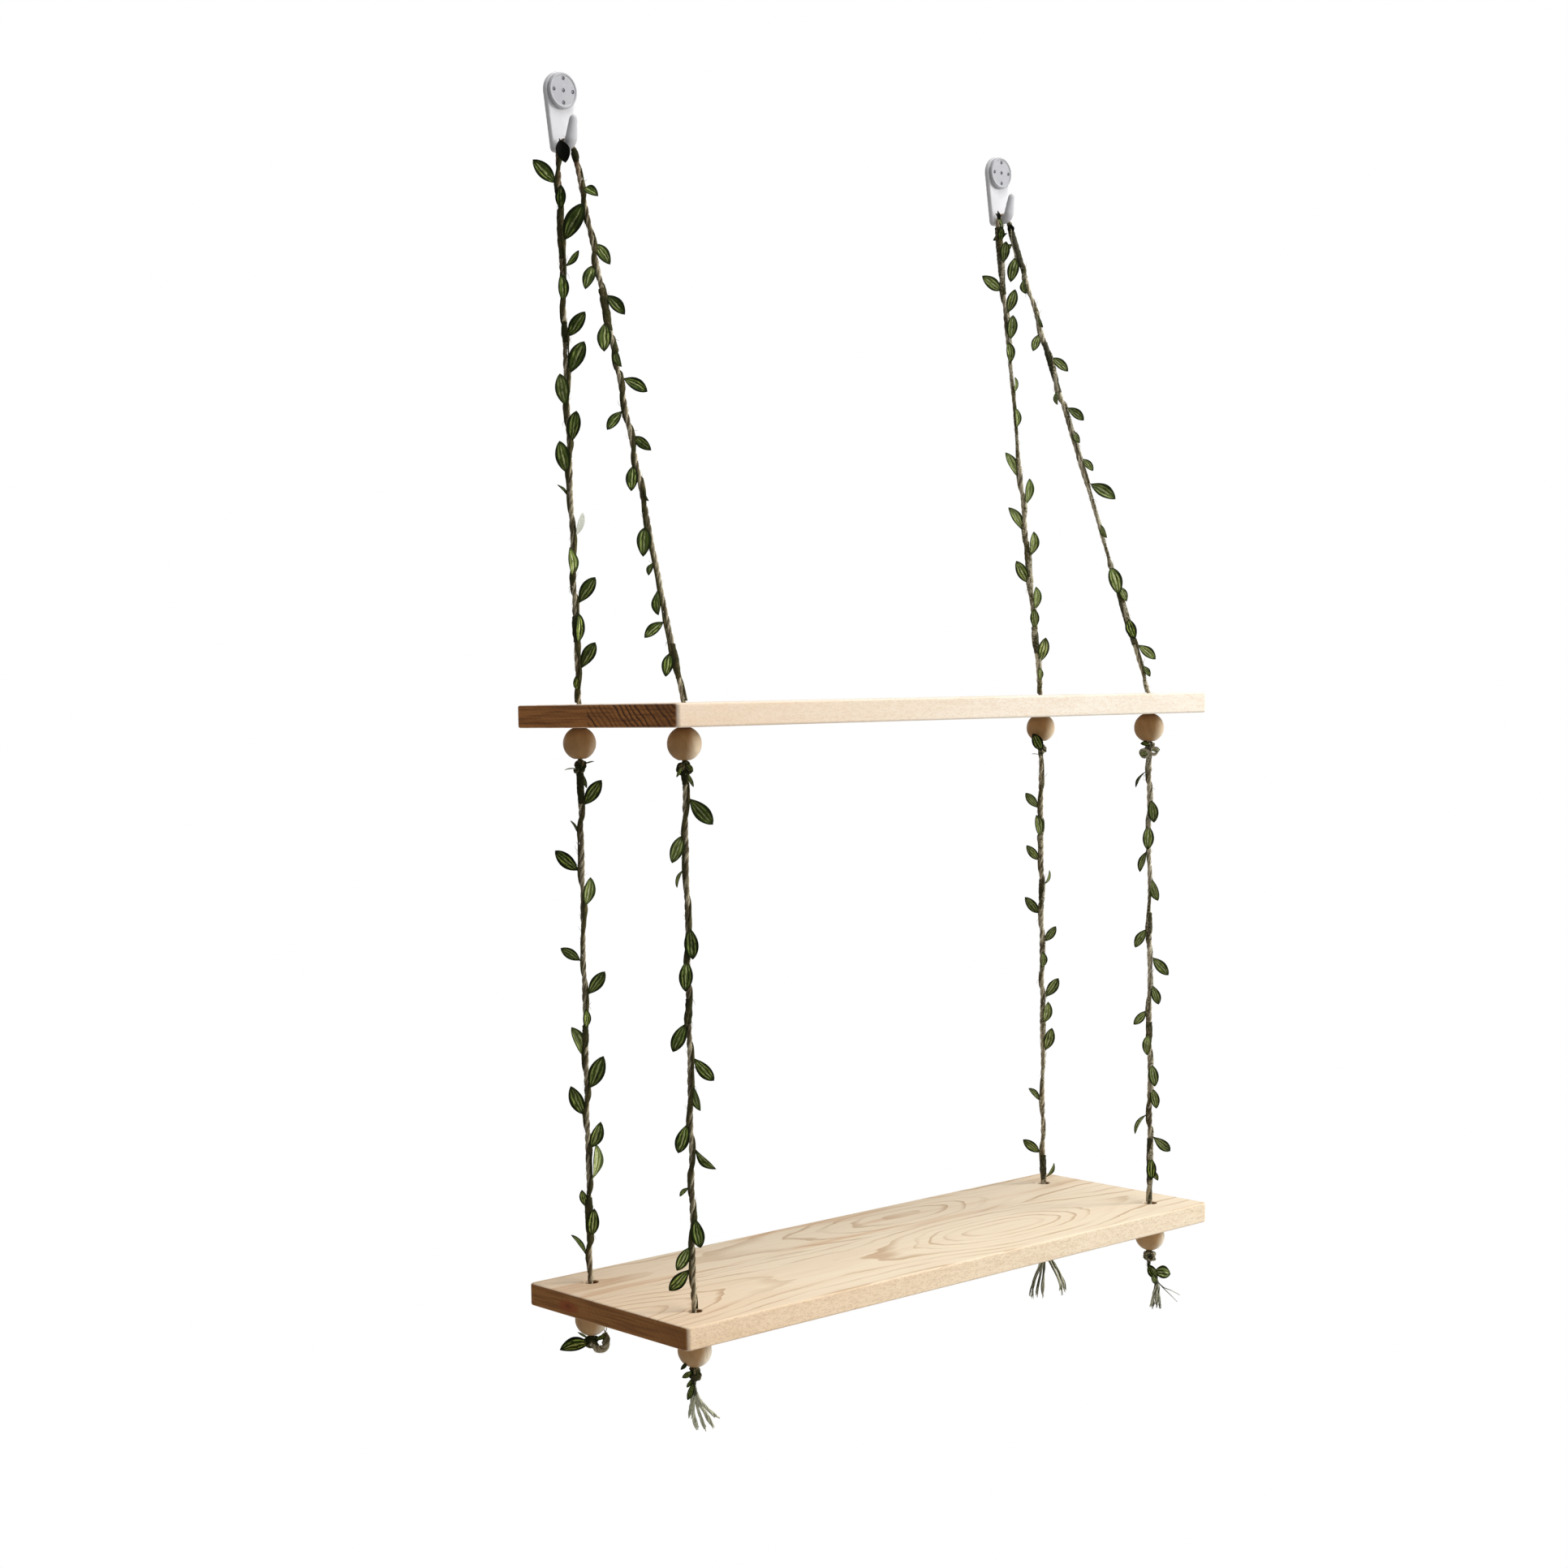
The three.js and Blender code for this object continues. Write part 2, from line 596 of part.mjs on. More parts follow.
// The J-shaped prong: one round valley from the plate under the rope and up into a leaning finger.
function prong() {
  const across = new THREE.Vector3(1, 0, 0);
  const rings = [];
  const inPlate = -plateThickness / 2;
  [-70, -50, -25].forEach((degrees) => {
    const turn = THREE.MathUtils.degToRad(degrees);
    const top = valleyRadius * (1 - Math.cos(turn));
    const out = -ropeOut - valleyRadius * Math.sin(turn);
    const flare = top / 2;
    const centre = new THREE.Vector3(0, out, (top - prongThickness) / 2);
    const half = (top + prongThickness) / 2;
    if (rings.length === 0) {
      rings.push([new THREE.Vector3(0, inPlate, centre.z)]);
      rings.push(ellipseRing(new THREE.Vector3(0, inPlate, centre.z), across, new THREE.Vector3(0, 0, 1),
        prongHalfWidth + flare, half));
    }
    rings.push(ellipseRing(centre, across, new THREE.Vector3(0, 0, 1), prongHalfWidth + flare, half));
  });
  const bendRadius = valleyRadius + prongThickness / 2;
  const bend = 90 - prongLean;
  const steps = 5;
  for (let i = 0; i <= steps; i += 1) {
    const turn = THREE.MathUtils.degToRad((bend * i) / steps);
    const radial = new THREE.Vector3(0, Math.sin(turn), Math.cos(turn));
    const centre = new THREE.Vector3(0, -ropeOut, valleyRadius).addScaledVector(
      new THREE.Vector3(0, -Math.sin(turn), -Math.cos(turn)), bendRadius);
    rings.push(ellipseRing(centre, across, radial, prongHalfWidth, prongThickness / 2));
  }
  const lean = THREE.MathUtils.degToRad(prongLean);
  const along = new THREE.Vector3(0, -Math.sin(lean), Math.cos(lean));
  const thick = new THREE.Vector3(0, Math.cos(lean), Math.sin(lean));
  const root = new THREE.Vector3(0, -ropeOut, valleyRadius).addScaledVector(thick, -bendRadius);
  const length = (prongRise - root.z) / along.z;
  const tipRound = prongTipThickness / 2;
  const tipHalfWidth = prongHalfWidth * 0.75;
  [[length - tipRound, 1], [length - tipRound * 0.3, 0.75]].forEach(([far, share]) => {
    rings.push(ellipseRing(root.clone().addScaledVector(along, far), across, thick,
      tipHalfWidth * share, tipRound * share));
  });
  rings.push([root.clone().addScaledVector(along, length)]);
  return lofted(rings);
}

function pinPlaces() {
  const places = [[0, headRise]];
  for (let k = 0; k < pinsRoundCap; k += 1) {
    const turn = (2 * Math.PI * k) / pinsRoundCap;
    places.push([pinCircleRadius * Math.sin(turn), headRise + pinCircleRadius * Math.cos(turn)]);
  }
  return places;
}

function hookBody() {
  const [, ...ring] = pinPlaces();
  const from = -overrun;
  const to = plateThickness + overrun;
  const cutters = ring.map(([x, z]) => post(pinRadius + touchGap, x, z, from, to, pinSides));
  cutters.push(post(spigotRadius + touchGap, 0, headRise, from, to, capSides));
  return cutBy(joined([plate(), prong()]), cutters);
}

// The round cap that carries the pins: a bevelled disc with a spigot that fills the plate's bore.
function pinCap() {
  const disc = turned([
    [0, -capFaceOut], [capRadius - capBevel, -capFaceOut], [capRadius, capBevel - capFaceOut],
    [capRadius, -capBackOut], [spigotRadius, -capBackOut],
    [spigotRadius, spigotDepth - plateThickness], [0, spigotDepth - plateThickness],
  ], capSides).translate(0, 0, headRise);
  const recess = pinHeadHeight + touchGap;
  const cutters = pinPlaces().flatMap(([x, z]) => [
    post(pinRadius + touchGap, x, z, -overrun, capFaceOut + overrun, pinSides),
    post(pinHeadRadius + touchGap, x, z, capFaceOut - recess, capFaceOut + overrun, pinSides),
  ]);
  return cutBy(disc, cutters);
}

// A round-headed steel pin, shown from its head in the cap to just short of the wall.
function pin() {
  const headBack = pinHeadHeight - capFaceOut;
  return turned([
    [0, -capFaceOut], [pinHeadRadius * 0.7, -capFaceOut], [pinHeadRadius, headBack - pinHeadHeight / 2],
    [pinHeadRadius, headBack], [pinRadius, headBack],
    [pinRadius, -pinPointInset - pinPointLength], [0, -pinPointInset],
  ], pinSides);
}

// Assembly

const shelf = new THREE.Group();

const sides = [
  { name: 'left', sign: -1 },
  { name: 'right', sign: 1 },
];
const depths = [
  { name: 'rear', y: rearHoleY, loopSign: -1, growth: 1 },
  { name: 'front', y: frontHoleY, loopSign: 1, growth: -1 },
];

// A frame with its origin at a strand's foot, +Y up the strand and +X near the leaf bearing.
function strandFrame(foot, head) {
  const up = head.clone().sub(foot).normalize();
  const bearing = THREE.MathUtils.degToRad(leafBearing);
  const along = new THREE.Vector3(Math.cos(bearing), Math.sin(bearing), 0);
  along.addScaledVector(up, -along.dot(up)).normalize();
  const frame = new THREE.Group();
  frame.position.copy(foot);
  frame.quaternion.setFromRotationMatrix(new THREE.Matrix4().makeBasis(along, up, along.clone().cross(up)));
  return frame;
}

function addStrand(name, foot, head, growth, strand) {
  const frame = strandFrame(foot, head);
  frame.add(piece(`strand_${name}`, strand, rope));
  frame.add(piece(`garland_${name}`, garland(name, foot.distanceTo(head), growth), leafGreen));
  shelf.add(frame);
}

function addHook({ name, sign }) {
  const frame = new THREE.Group();
  frame.position.x = (sign * hookSpacing) / 2;
  frame.add(piece(`hook_${name}`, hookBody(), whitePlastic));
  frame.add(piece(`pin_cap_${name}`, pinCap(), greyPlastic));
  pinPlaces().forEach(([x, z], k) => {
    const nail = piece(`pin_${name}_${k + 1}`, pin(), steel);
    nail.position.set(x, 0, z);
    frame.add(nail);
  });
  frame.add(piece(`rope_loop_${name}`, tube(new SaddleArc(), ropeRadius, ropeSides, 8), rope));
  shelf.add(frame);
}

function addUpperStrand(side, depth) {
  const name = `upper_${depth.name}_${side.name}`;
  const foot = new THREE.Vector3(side.sign * holeX, depth.y, upperTop);
  const headX = (side.sign * hookSpacing) / 2 + depth.loopSign * loopRadius;
  const head = new THREE.Vector3(headX, -ropeOut, loopCentreHeight);
  addStrand(name, foot, head, depth.growth, stretch(foot.distanceTo(head) - ropeRadius, true));
}

// The rear left strand stops short of its foot, where the separate turn of rope leads it into the hole.
function addLowerStrand(side, depth) {
  const name = `lower_${depth.name}_${side.name}`;
  const foot = new THREE.Vector3(side.sign * holeX, depth.y, lowerTop);
  const head = foot.clone().setZ(upperTop - strandDrop);
  const length = foot.distanceTo(head);
  if (side.name === 'left' && depth.name === 'rear') {
    const turn = piece(`rope_turn_${name}`, new THREE.SphereGeometry(ropeRadius, 8, 6), rope);
    turn.position.copy(foot);
    shelf.add(turn);
    const short = ropeRadius + touchGap;
    addStrand(name, foot, head, depth.growth, stretch(length - short, false).translate(0, short, 0));
  } else {
    addStrand(name, foot, head, depth.growth, stretch(length, true));
  }
}

function addUnderBoard(tier, top, side, depth) {
  const name = `${tier}_${depth.name}_${side.name}`;
  const hole = new THREE.Group();
  hole.position.set(side.sign * holeX, depth.y, top);
  const ball = piece(`bead_${name}`, bead(), beadWood);
  ball.position.z = -beadDrop;
  hole.add(ball);
  const turns = knotTurns().map((turn) => turn.translate(0, 0, -knotDrop));
  const heart = knotHeart().translate(0, 0, -knotDrop);
  if (tier === 'upper') {
    const bottom = -knotDrop + knotReach + touchGap;
    hole.add(piece(`rope_core_${name}`, core(bottom), rope));
    hole.add(piece(`knot_${name}`, joined([heart, ...turns]), rope));
  } else {
    hole.add(piece(`knot_${name}`, joined([core(-knotDrop), heart, ...turns]), rope));
    hole.add(tail(depth, side));
  }
  shelf.add(hole);
}

// The rope end below a lower knot, which starts outside the knot's turns and frays into yarns.
function tail(depth, side) {
  const bearing = THREE.MathUtils.degToRad(leafBearing);
  const along = new THREE.Vector3(Math.cos(bearing), Math.sin(bearing), 0);
  const out = new THREE.Vector3(Math.sin(bearing), -Math.cos(bearing), 0);
  const place = ([x, y, z]) => along.clone().multiplyScalar(x).addScaledVector(out, y).setZ(z - knotDrop);
  const { trunk, yarns } = tailRoutes[`${depth.name}_${side.name}`];
  const parts = [taperedTube(trunk.map(place), ropeRadius, ropeRadius * 0.8, stemSides + 1, 2 * trunk.length)];
  yarns.forEach((route) => {
    parts.push(taperedTube(route.map(place), yarnDiameter / 2, yarnTipDiameter / 2, 4, 4));
  });
  const room = new THREE.SphereGeometry(knotReach + touchGap, 12, 8).translate(0, 0, -knotDrop);
  const end = cutBy(joined(parts), [room]);
  return piece(`rope_end_${depth.name}_${side.name}`, end, rope);
}

sides.forEach(addHook);
[['upper', upperTop], ['lower', lowerTop]].forEach(([tier, top]) => {
  const plank = piece(`${tier}_board`, board(), pine);
  plank.position.z = top;
  shelf.add(plank);
  sides.forEach((side) => depths.forEach((depth) => addUnderBoard(tier, top, side, depth)));
});
sides.forEach((side) => depths.forEach((depth) => {
  addUpperStrand(side, depth);
  addLowerStrand(side, depth);
}));

export default shelf;
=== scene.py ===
import math
import random

import bmesh
import bpy
import numpy as np
from mathutils import Matrix, Vector


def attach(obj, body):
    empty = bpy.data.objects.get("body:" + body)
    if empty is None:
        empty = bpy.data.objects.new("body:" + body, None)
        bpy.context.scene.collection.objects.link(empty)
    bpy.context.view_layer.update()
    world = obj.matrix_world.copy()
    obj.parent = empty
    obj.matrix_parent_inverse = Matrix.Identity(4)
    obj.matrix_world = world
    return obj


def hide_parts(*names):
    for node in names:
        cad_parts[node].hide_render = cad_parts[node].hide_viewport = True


# A hanging rope shelf: two pine boards on knotted jute ropes with a leaf garland, over two wall hooks.
# Sizes are in millimetres and become metres when a piece is made. +X right, +Y into the wall, +Z up.

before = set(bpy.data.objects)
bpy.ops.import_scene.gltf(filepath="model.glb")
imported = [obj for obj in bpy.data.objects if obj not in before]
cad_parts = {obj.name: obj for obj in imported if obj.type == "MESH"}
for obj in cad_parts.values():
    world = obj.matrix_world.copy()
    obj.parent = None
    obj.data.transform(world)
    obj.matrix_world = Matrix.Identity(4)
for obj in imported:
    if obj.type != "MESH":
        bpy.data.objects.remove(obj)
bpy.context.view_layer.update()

MM = 0.001

# Boards
LENGTH, DEPTH, THICK = 420.0, 130.0, 12.0
EDGE_RADIUS, CORNER_RADIUS = 1.1, 3.0
WALL_GAP = 1.5
UPPER_TOP, LOWER_TOP = -295.5, -605.5
HOLE_X, HOLE_REAR, HOLE_FRONT = 184.7, -23.2, -107.8
HOLE_RADIUS, HOLE_CHAMFER = 4.0, 0.6

# Rope, beads and knots
ROPE_RADIUS, GAP = 1.7, 0.3
# The rope's radius in the scene, its plies' distance from the middle and radius as shares of it, and the
# step between its rings
ROPE_SEEN, PLY_OUT, PLY_SIZE, ROPE_STEP = 1.35, 0.43, 0.58, 0.95
BEAD_RADIUS, BEAD_HEIGHT, BORE_RADIUS = 8.8, 16.4, 2.6
KNOT_REACH, KNOT_SPREAD, KNOT_ROPE = 3.8, 3.1, 1.45
BEAD_DROP = THICK + GAP + BEAD_HEIGHT / 2
KNOT_DROP = THICK + GAP + BEAD_HEIGHT + GAP + KNOT_REACH
STRAND_DROP = KNOT_DROP + KNOT_REACH + GAP + ROPE_RADIUS
ROPE_LAY, KNOT_LAY, END_LAY = 15.0, 7.5, 11.0
# How far the strands reach into a hole and into a knot, and how near a bend the rope is rounded off
TUCK, KNOT_TUCK, BEND_REACH, BEND_ROUNDS = 2.2, 5.2, 9, 30

# Garland
STEM_RADIUS, STEM_FLAT = 0.5, 2.3
WINDING_RADIUS = ROPE_SEEN + 0.32
STEM_PITCH = 46.0
LEAF_LENGTH, LEAF_WIDTH, STALK, CLOTH = 16.5, 7.2, 0.07, 0.17
# Which way from +X the picture's right lies, where the camera looks at the shelf
BEARING = math.radians(-43)

# Hooks
HOOK_X = 172.0
PLATE, HEAD_RADIUS, HEAD_RISE, FOOT_HALF, FOOT_DROP = 3.0, 10.2, 26.9, 6.3, 5.0
PLATE_EDGE, FOOT_CORNER = 0.9, 2.6
ROPE_OUT, LOOP_RADIUS, LOOP_Z = 6.0, 5.6, -3.6
VALLEY, PRONG_HALF, PRONG_THICK, PRONG_RISE, PRONG_LEAN = 2.9, 3.2, 4.2, 13.2, 12.0
CAP_RADIUS, CAP_BACK, CAP_FACE, CAP_BEVEL, CAP_STEM, CAP_BORE = 9.45, 3.3, 5.2, 1.0, 3.95, 4.3
PIN_CIRCLE, PIN_BORE = 6.3, 0.75
VOXEL = 0.42

SIDES = (("left", -1), ("right", 1))
# Name, place and the way the garland's leaves grow: up (1) or down (-1) the strand.
DEPTHS = (("rear", HOLE_REAR, 1), ("front", HOLE_FRONT, -1))


def placed(name, data):
    """A new object of the scene."""
    made = bpy.data.objects.new(name, data)
    bpy.context.scene.collection.objects.link(made)
    return made


def make_camera():
    """The camera fitted to the photograph. Lens and shifts are in pixels of its frame."""
    place, yaw, pitch, roll = (-969.9, -1014.4, -292.5), 0.69787, -0.07954, -0.01835
    lens, shift_x, shift_y, frame_pixels, sensor = 2940.9, 166.4, 127.7, 1932, 36
    data = bpy.data.cameras.new("camera")
    data.sensor_width, data.lens, data.clip_end = sensor, lens * sensor / frame_pixels, 50
    data.shift_x, data.shift_y = shift_x / frame_pixels, shift_y / frame_pixels
    camera = placed("camera", data)
    camera.matrix_world = (Matrix.Translation(Vector(place) * MM) @ Matrix.Rotation(-yaw, 4, "Z")
                           @ Matrix.Rotation(math.pi / 2 + pitch, 4, "X") @ Matrix.Rotation(roll, 4, "Z"))
    bpy.context.scene.camera = camera


make_camera()


# ---------------------------------------------------------------- materials

class Value:
    """A node's output, reckoned with like a number."""

    def __init__(self, graph, socket):
        self.graph, self.socket = graph, socket

    def output(self, key):
        return Value(self.graph, self.socket.node.outputs[key])

    def __add__(self, other):
        return self.graph.math("ADD", self, other)

    def __sub__(self, other):
        return self.graph.math("SUBTRACT", self, other)

    def __rsub__(self, other):
        return self.graph.math("SUBTRACT", other, self)

    def __mul__(self, other):
        return self.graph.math("MULTIPLY", self, other)

    def __truediv__(self, other):
        return self.graph.math("DIVIDE", self, other)

    def __abs__(self):
        return self.graph.math("ABSOLUTE", self)


class Graph:
    """The node tree of a material or of the world, written as calls."""

    def __init__(self, owner):
        owner.use_nodes = True
        self.owner, self.tree = owner, owner.node_tree
        self.tree.nodes.clear()

    def node(self, kind, inputs=None, output=0, **settings):
        """A new node. Returns one of its outputs."""
        made = self.tree.nodes.new(kind)
        for key, value in settings.items():
            setattr(made, key, value)
        for key, value in (inputs or {}).items():
            if isinstance(value, Value):
                self.tree.links.new(value.socket, made.inputs[key])
            else:
                made.inputs[key].default_value = value
        return Value(self, made.outputs[output]) if len(made.outputs) else None

    def math(self, operation, *values):
        return self.node("ShaderNodeMath", dict(enumerate(values)), operation=operation)

    def mix(self, colour, *layers):
        """A colour with others laid over it in turn, each given as (share, colour)."""
        for share, layer in layers:
            colour = self.node("ShaderNodeMix", {0: share, 6: colour, 7: layer}, 2, data_type="RGBA")
        return colour

    def span(self, value, low, high, top=1.0, bottom=0.0):
        """Eases from bottom to top while the value goes from low to high."""
        return self.node("ShaderNodeMapRange", dict(enumerate((value, low, high, bottom, top))),
                         interpolation_type="SMOOTHSTEP")

    def noise(self, point, detail=2.0, rough=0.5, scale=1.0):
        """Noise at a point, which is one vector or its three parts."""
        if isinstance(point, tuple):
            point = self.node("ShaderNodeCombineXYZ", dict(enumerate(point)))
        inputs = {"Vector": point, "Scale": scale, "Detail": detail, "Roughness": rough}
        return self.node("ShaderNodeTexNoise", inputs, "Fac")

    def place(self):
        """The point in the piece's own frame, in millimetres."""
        point = self.node("ShaderNodeTexCoord", output="Object")
        return self.node("ShaderNodeVectorMath", {0: point, "Scale": 1 / MM}, operation="SCALE")

    def parts(self, vector):
        first = self.node("ShaderNodeSeparateXYZ", {0: vector})
        return first, first.output(1), first.output(2)

    def mark(self, name):
        return self.node("ShaderNodeAttribute", output="Fac", attribute_name=name)

    def bump(self, height, distance, strength):
        return self.node("ShaderNodeBump", {"Strength": strength, "Distance": distance * MM, "Height": height})

    def surface(self, colour, roughness, specular, normal=None, metallic=0.0):
        inputs = {"Base Color": colour, "Roughness": roughness, "Specular IOR Level": specular, "Metallic": metallic}
        if normal:
            inputs["Normal"] = normal
        self.node("ShaderNodeOutputMaterial", {0: self.node("ShaderNodeBsdfPrincipled", inputs)})
        return self.owner


def graph_of(name):
    return Graph(bpy.data.materials.new(name))


def rgb(red, green, blue):
    """A colour written as it looks on screen, 0 to 255."""
    def linear(level):
        share = level / 255
        return share / 12.92 if share <= 0.04045 else ((share + 0.055) / 1.055) ** 2.4
    return linear(red), linear(green), linear(blue), 1.0


def wood(name, light, line, end_light, end_line, joint, front, rear, stripe, knot, seed, top):
    """Flat-sawn pine in two glued staves. Growth rings run round a long axis under each stave and show
    as arches where the axis comes near the face. front and rear: (axis y, axis depth, ring width,
    ((x, width, rise), ...)). stripe: how strongly the front stave's end shows slanting rings."""
    g = graph_of(name)
    x, y, z = g.parts(g.place())
    z = z - top
    warp = (g.noise((x * 0.011, y * 0.028, seed)) - 0.5) * 15.0
    fine = (g.noise((x * 0.05, y * 0.16, z * 0.16)) - 0.5) * 2.4
    years = []
    for axis_y, depth, ring, hills in (front, rear):
        across = y - axis_y + warp * 0.4
        below = z + warp - depth
        for centre, width, rise in hills:
            away = (x - centre) / width
            below = below - g.math("POWER", 2.718, away * away * -1.0) * rise
        years.append((g.math("SQRT", across * across + below * below) + fine) / ring)
    is_rear = g.math("GREATER_THAN", y, joint)
    is_front = 1.0 - is_rear
    year = years[1] * is_rear + years[0] * is_front
    year = year + g.noise((year * 0.4, seed, 0.0), 1.0) * 1.6
    phase = g.math("FRACT", year)
    weight = g.noise((g.math("FLOOR", year), x * 0.016, seed), 1.0)
    late = g.span(phase, 0.62, 0.95) * g.span(phase, 1.0, 0.96) * g.span(weight, 0.3, 0.7, 0.85, 0.1)

    streak = g.noise((x * 0.02, y * 0.5, z * 0.5), 3.0)
    wide = g.noise((x * 0.006, y * 0.075, z * 0.1), 3.0)
    speck = g.noise((x * 1.1, y * 1.6, z * 1.6), 4.0, 0.7)
    vessel = g.noise((x * 0.35, y * 1.6, z * 1.3), 3.0, 0.6)
    facing = g.parts(g.node("ShaderNodeTexCoord", output="Normal"))
    is_end = g.span(abs(facing[0]), 0.55, 0.9)
    edge = g.span(abs(facing[1]), 0.5, 0.9)
    # The tan streaks are strongest on the rear stave; their rise towards the left end is painted shade, darker away
    # from the lamp on the right.
    tan = g.span(wide, 0.5, 0.62) * (is_rear * 0.45 + 0.12) * g.span(x, 160.0, -60.0, 1.0, 0.35)
    body = g.mix(light, (late * (1.0 - edge * 0.85), line),
                 (g.span(streak, 0.45, 0.75, 0.16), line),
                 (tan, rgb(214, 170, 128)),
                 # Front and rear faces turn tanner towards the left end: painted shade for the lamp's light falling off
                 # to the left.
                 (edge * g.span(x, 150.0, -210.0, 0.45), rgb(232, 193, 150)),
                 (edge * g.span(speck, 0.52, 0.7, 0.3), (1, 0.97, 0.92, 1)),
                 (edge * g.span(speck, 0.45, 0.3, 0.5), line),
                 (edge * (g.span(vessel, 0.53, 0.58) * g.span(vessel, 0.64, 0.59, 0.5)), line),
                 # Top, bottom and end faces turn tanner towards the left end: painted shade as well.
                 (g.span(x, -70.0, -215.0, 0.25) * (1.0 - edge), rgb(216, 164, 116)))

    ragged = g.noise((seed, y * 0.12, z * 0.12), 3.0)
    slant = (y - z + ragged * 5.0) * 0.24
    wave = g.math("FRACT", slant)
    lot = g.noise((g.math("FLOOR", slant), seed, 2.0), 0.0)
    band = g.span(wave, 0.35, 0.8) * g.span(wave, 1.0, 0.88) * g.span(lot, 0.3, 0.6, 1.0, 0.45)
    lie = g.noise((seed, y * 0.03, z * 0.75), 3.0)
    grain = g.mix(end_light, (band * (is_rear * (-0.9 * stripe) + stripe), end_line),
                  (g.span(lie, 0.4, 0.68, 0.55), end_line),
                  (is_front * g.span(y, -100.0, -128.0, 0.3), end_line),
                  (g.span(speck, 0.35, 0.7, 0.35), end_line),
                  (g.span(z, -1.1, -0.2, 0.7), end_line))
    if knot:
        across, above = (y - knot[0]) / 8.0, (z - knot[1]) / 3.4
        reach = g.math("SQRT", across * across + above * above) + ragged * 1.4
        grain = g.mix(grain, (g.span(reach, 1.9, 1.2, 0.85), rgb(160, 84, 44)),
                      (g.span(reach, 1.15, 0.9, 0.5), rgb(104, 52, 28)))
    colour = g.mix(body, (is_end, grain), (g.span(abs(y - joint), 0.45, 0.1, 0.22), end_line))
    return g.surface(colour, 0.6, 0.15, g.bump(streak * 0.3 + late * 0.3 + speck * 0.35, 0.12, 0.5))


def bead_wood(name, light, dark, lit_side):
    """A turned bead. Mark painted_shade darkens its top under the board, and faintly the lower beads' bottom: painted
    shade. Mark lit_side is 1 on its side towards the lamp, painted paler there: painted light.
    """
    g = graph_of(name)
    x, y, z = g.parts(g.place())
    warp = g.noise((x * 0.08, y * 0.08, z * 0.05))
    rings = g.math("FRACT", (x + z * 0.25) * 0.2 + warp * 3.0)
    fibre = g.noise((x * 0.9, y * 0.9, z * 0.12))
    colour = g.mix(light, (g.span(g.mark("lit_side"), 0.3, 1.0), lit_side),
                   (g.span(rings, 0.1, 0.8) * g.span(rings, 1.0, 0.85) * 0.12, dark),
                   (g.span(fibre, 0.4, 0.7, 0.12), dark),
                   (g.span(g.mark("painted_shade"), 0.25, 1.0, 0.5), dark))
    return g.surface(colour, 0.42, 0.2, g.bump(fibre, 0.04, 0.3))


def jute(name, pale, dark, deep, green=0.0, rust=0.0, light_from_right=0.6):
    """Twisted bast fibre. Marks around_c and around_s turn round a ply, along runs down it in mm, groove
    is 1 between the plies and lays painted shade there, and shade says how weathered and dark it is; on the
    frayed yarns it also carries painted shadow between them."""
    g = graph_of(name)
    x, y, z = g.parts(g.place())
    around = g.math("ARCTAN2", g.mark("around_s"), g.mark("around_c"))
    fray = g.noise((g.math("COSINE", around) * 1.5, g.math("SINE", around) * 1.5, g.mark("along") * 0.3), 4.0, 0.7, 2.0)
    knots = g.noise((x * 0.9, y * 0.9, z * 0.9), 3.0, 0.7)
    blotch = g.noise((x * 0.1, y * 0.1, z * 0.05))
    # The weathered darkness lessens towards the right: painted light from the lamp on that side.
    wear_and_shade = g.mark("shade") * 0.6 + blotch * 0.4 - g.span(x, -80.0, 140.0, 0.1 if light_from_right else 0.0)
    wear_and_shade = g.span(wear_and_shade, 0.42, 0.66, 0.85)
    # groove lays a dark brown on the plies' inner sides: painted shade between the plies.
    colour = g.mix(dark, (g.span(fray, 0.3, 0.7), pale), (g.span(knots, 0.5, 0.68, 0.5), pale), (wear_and_shade, deep),
                   (g.mark("groove") * 0.7, rgb(58, 44, 32)))
    if green:
        tint = g.noise((x * 0.3, y * 0.3, z * 0.3))
        colour = g.mix(colour, (g.span(tint, 0.4, 0.6, green), rgb(42, 52, 24)))
    if rust:
        near_hook = g.span(z, -46.0, -24.0, rust)
        colour = g.mix(colour, (near_hook * g.span(knots, 0.62, 0.4), rgb(112, 62, 38)))
    # Pale patches are laid on more strongly towards the right: painted light from the lamp on that side.
    bleached = g.span(blotch * 0.5 + knots * 0.5, 0.45, 0.56) * (1.0 - wear_and_shade)
    colour = g.mix(colour, (g.span(x, -60.0, 150.0, light_from_right) * bleached, rgb(228, 220, 194)))
    return g.surface(colour, 0.9, 0.12, g.bump(fray + knots * 0.5, 0.25, 0.8))


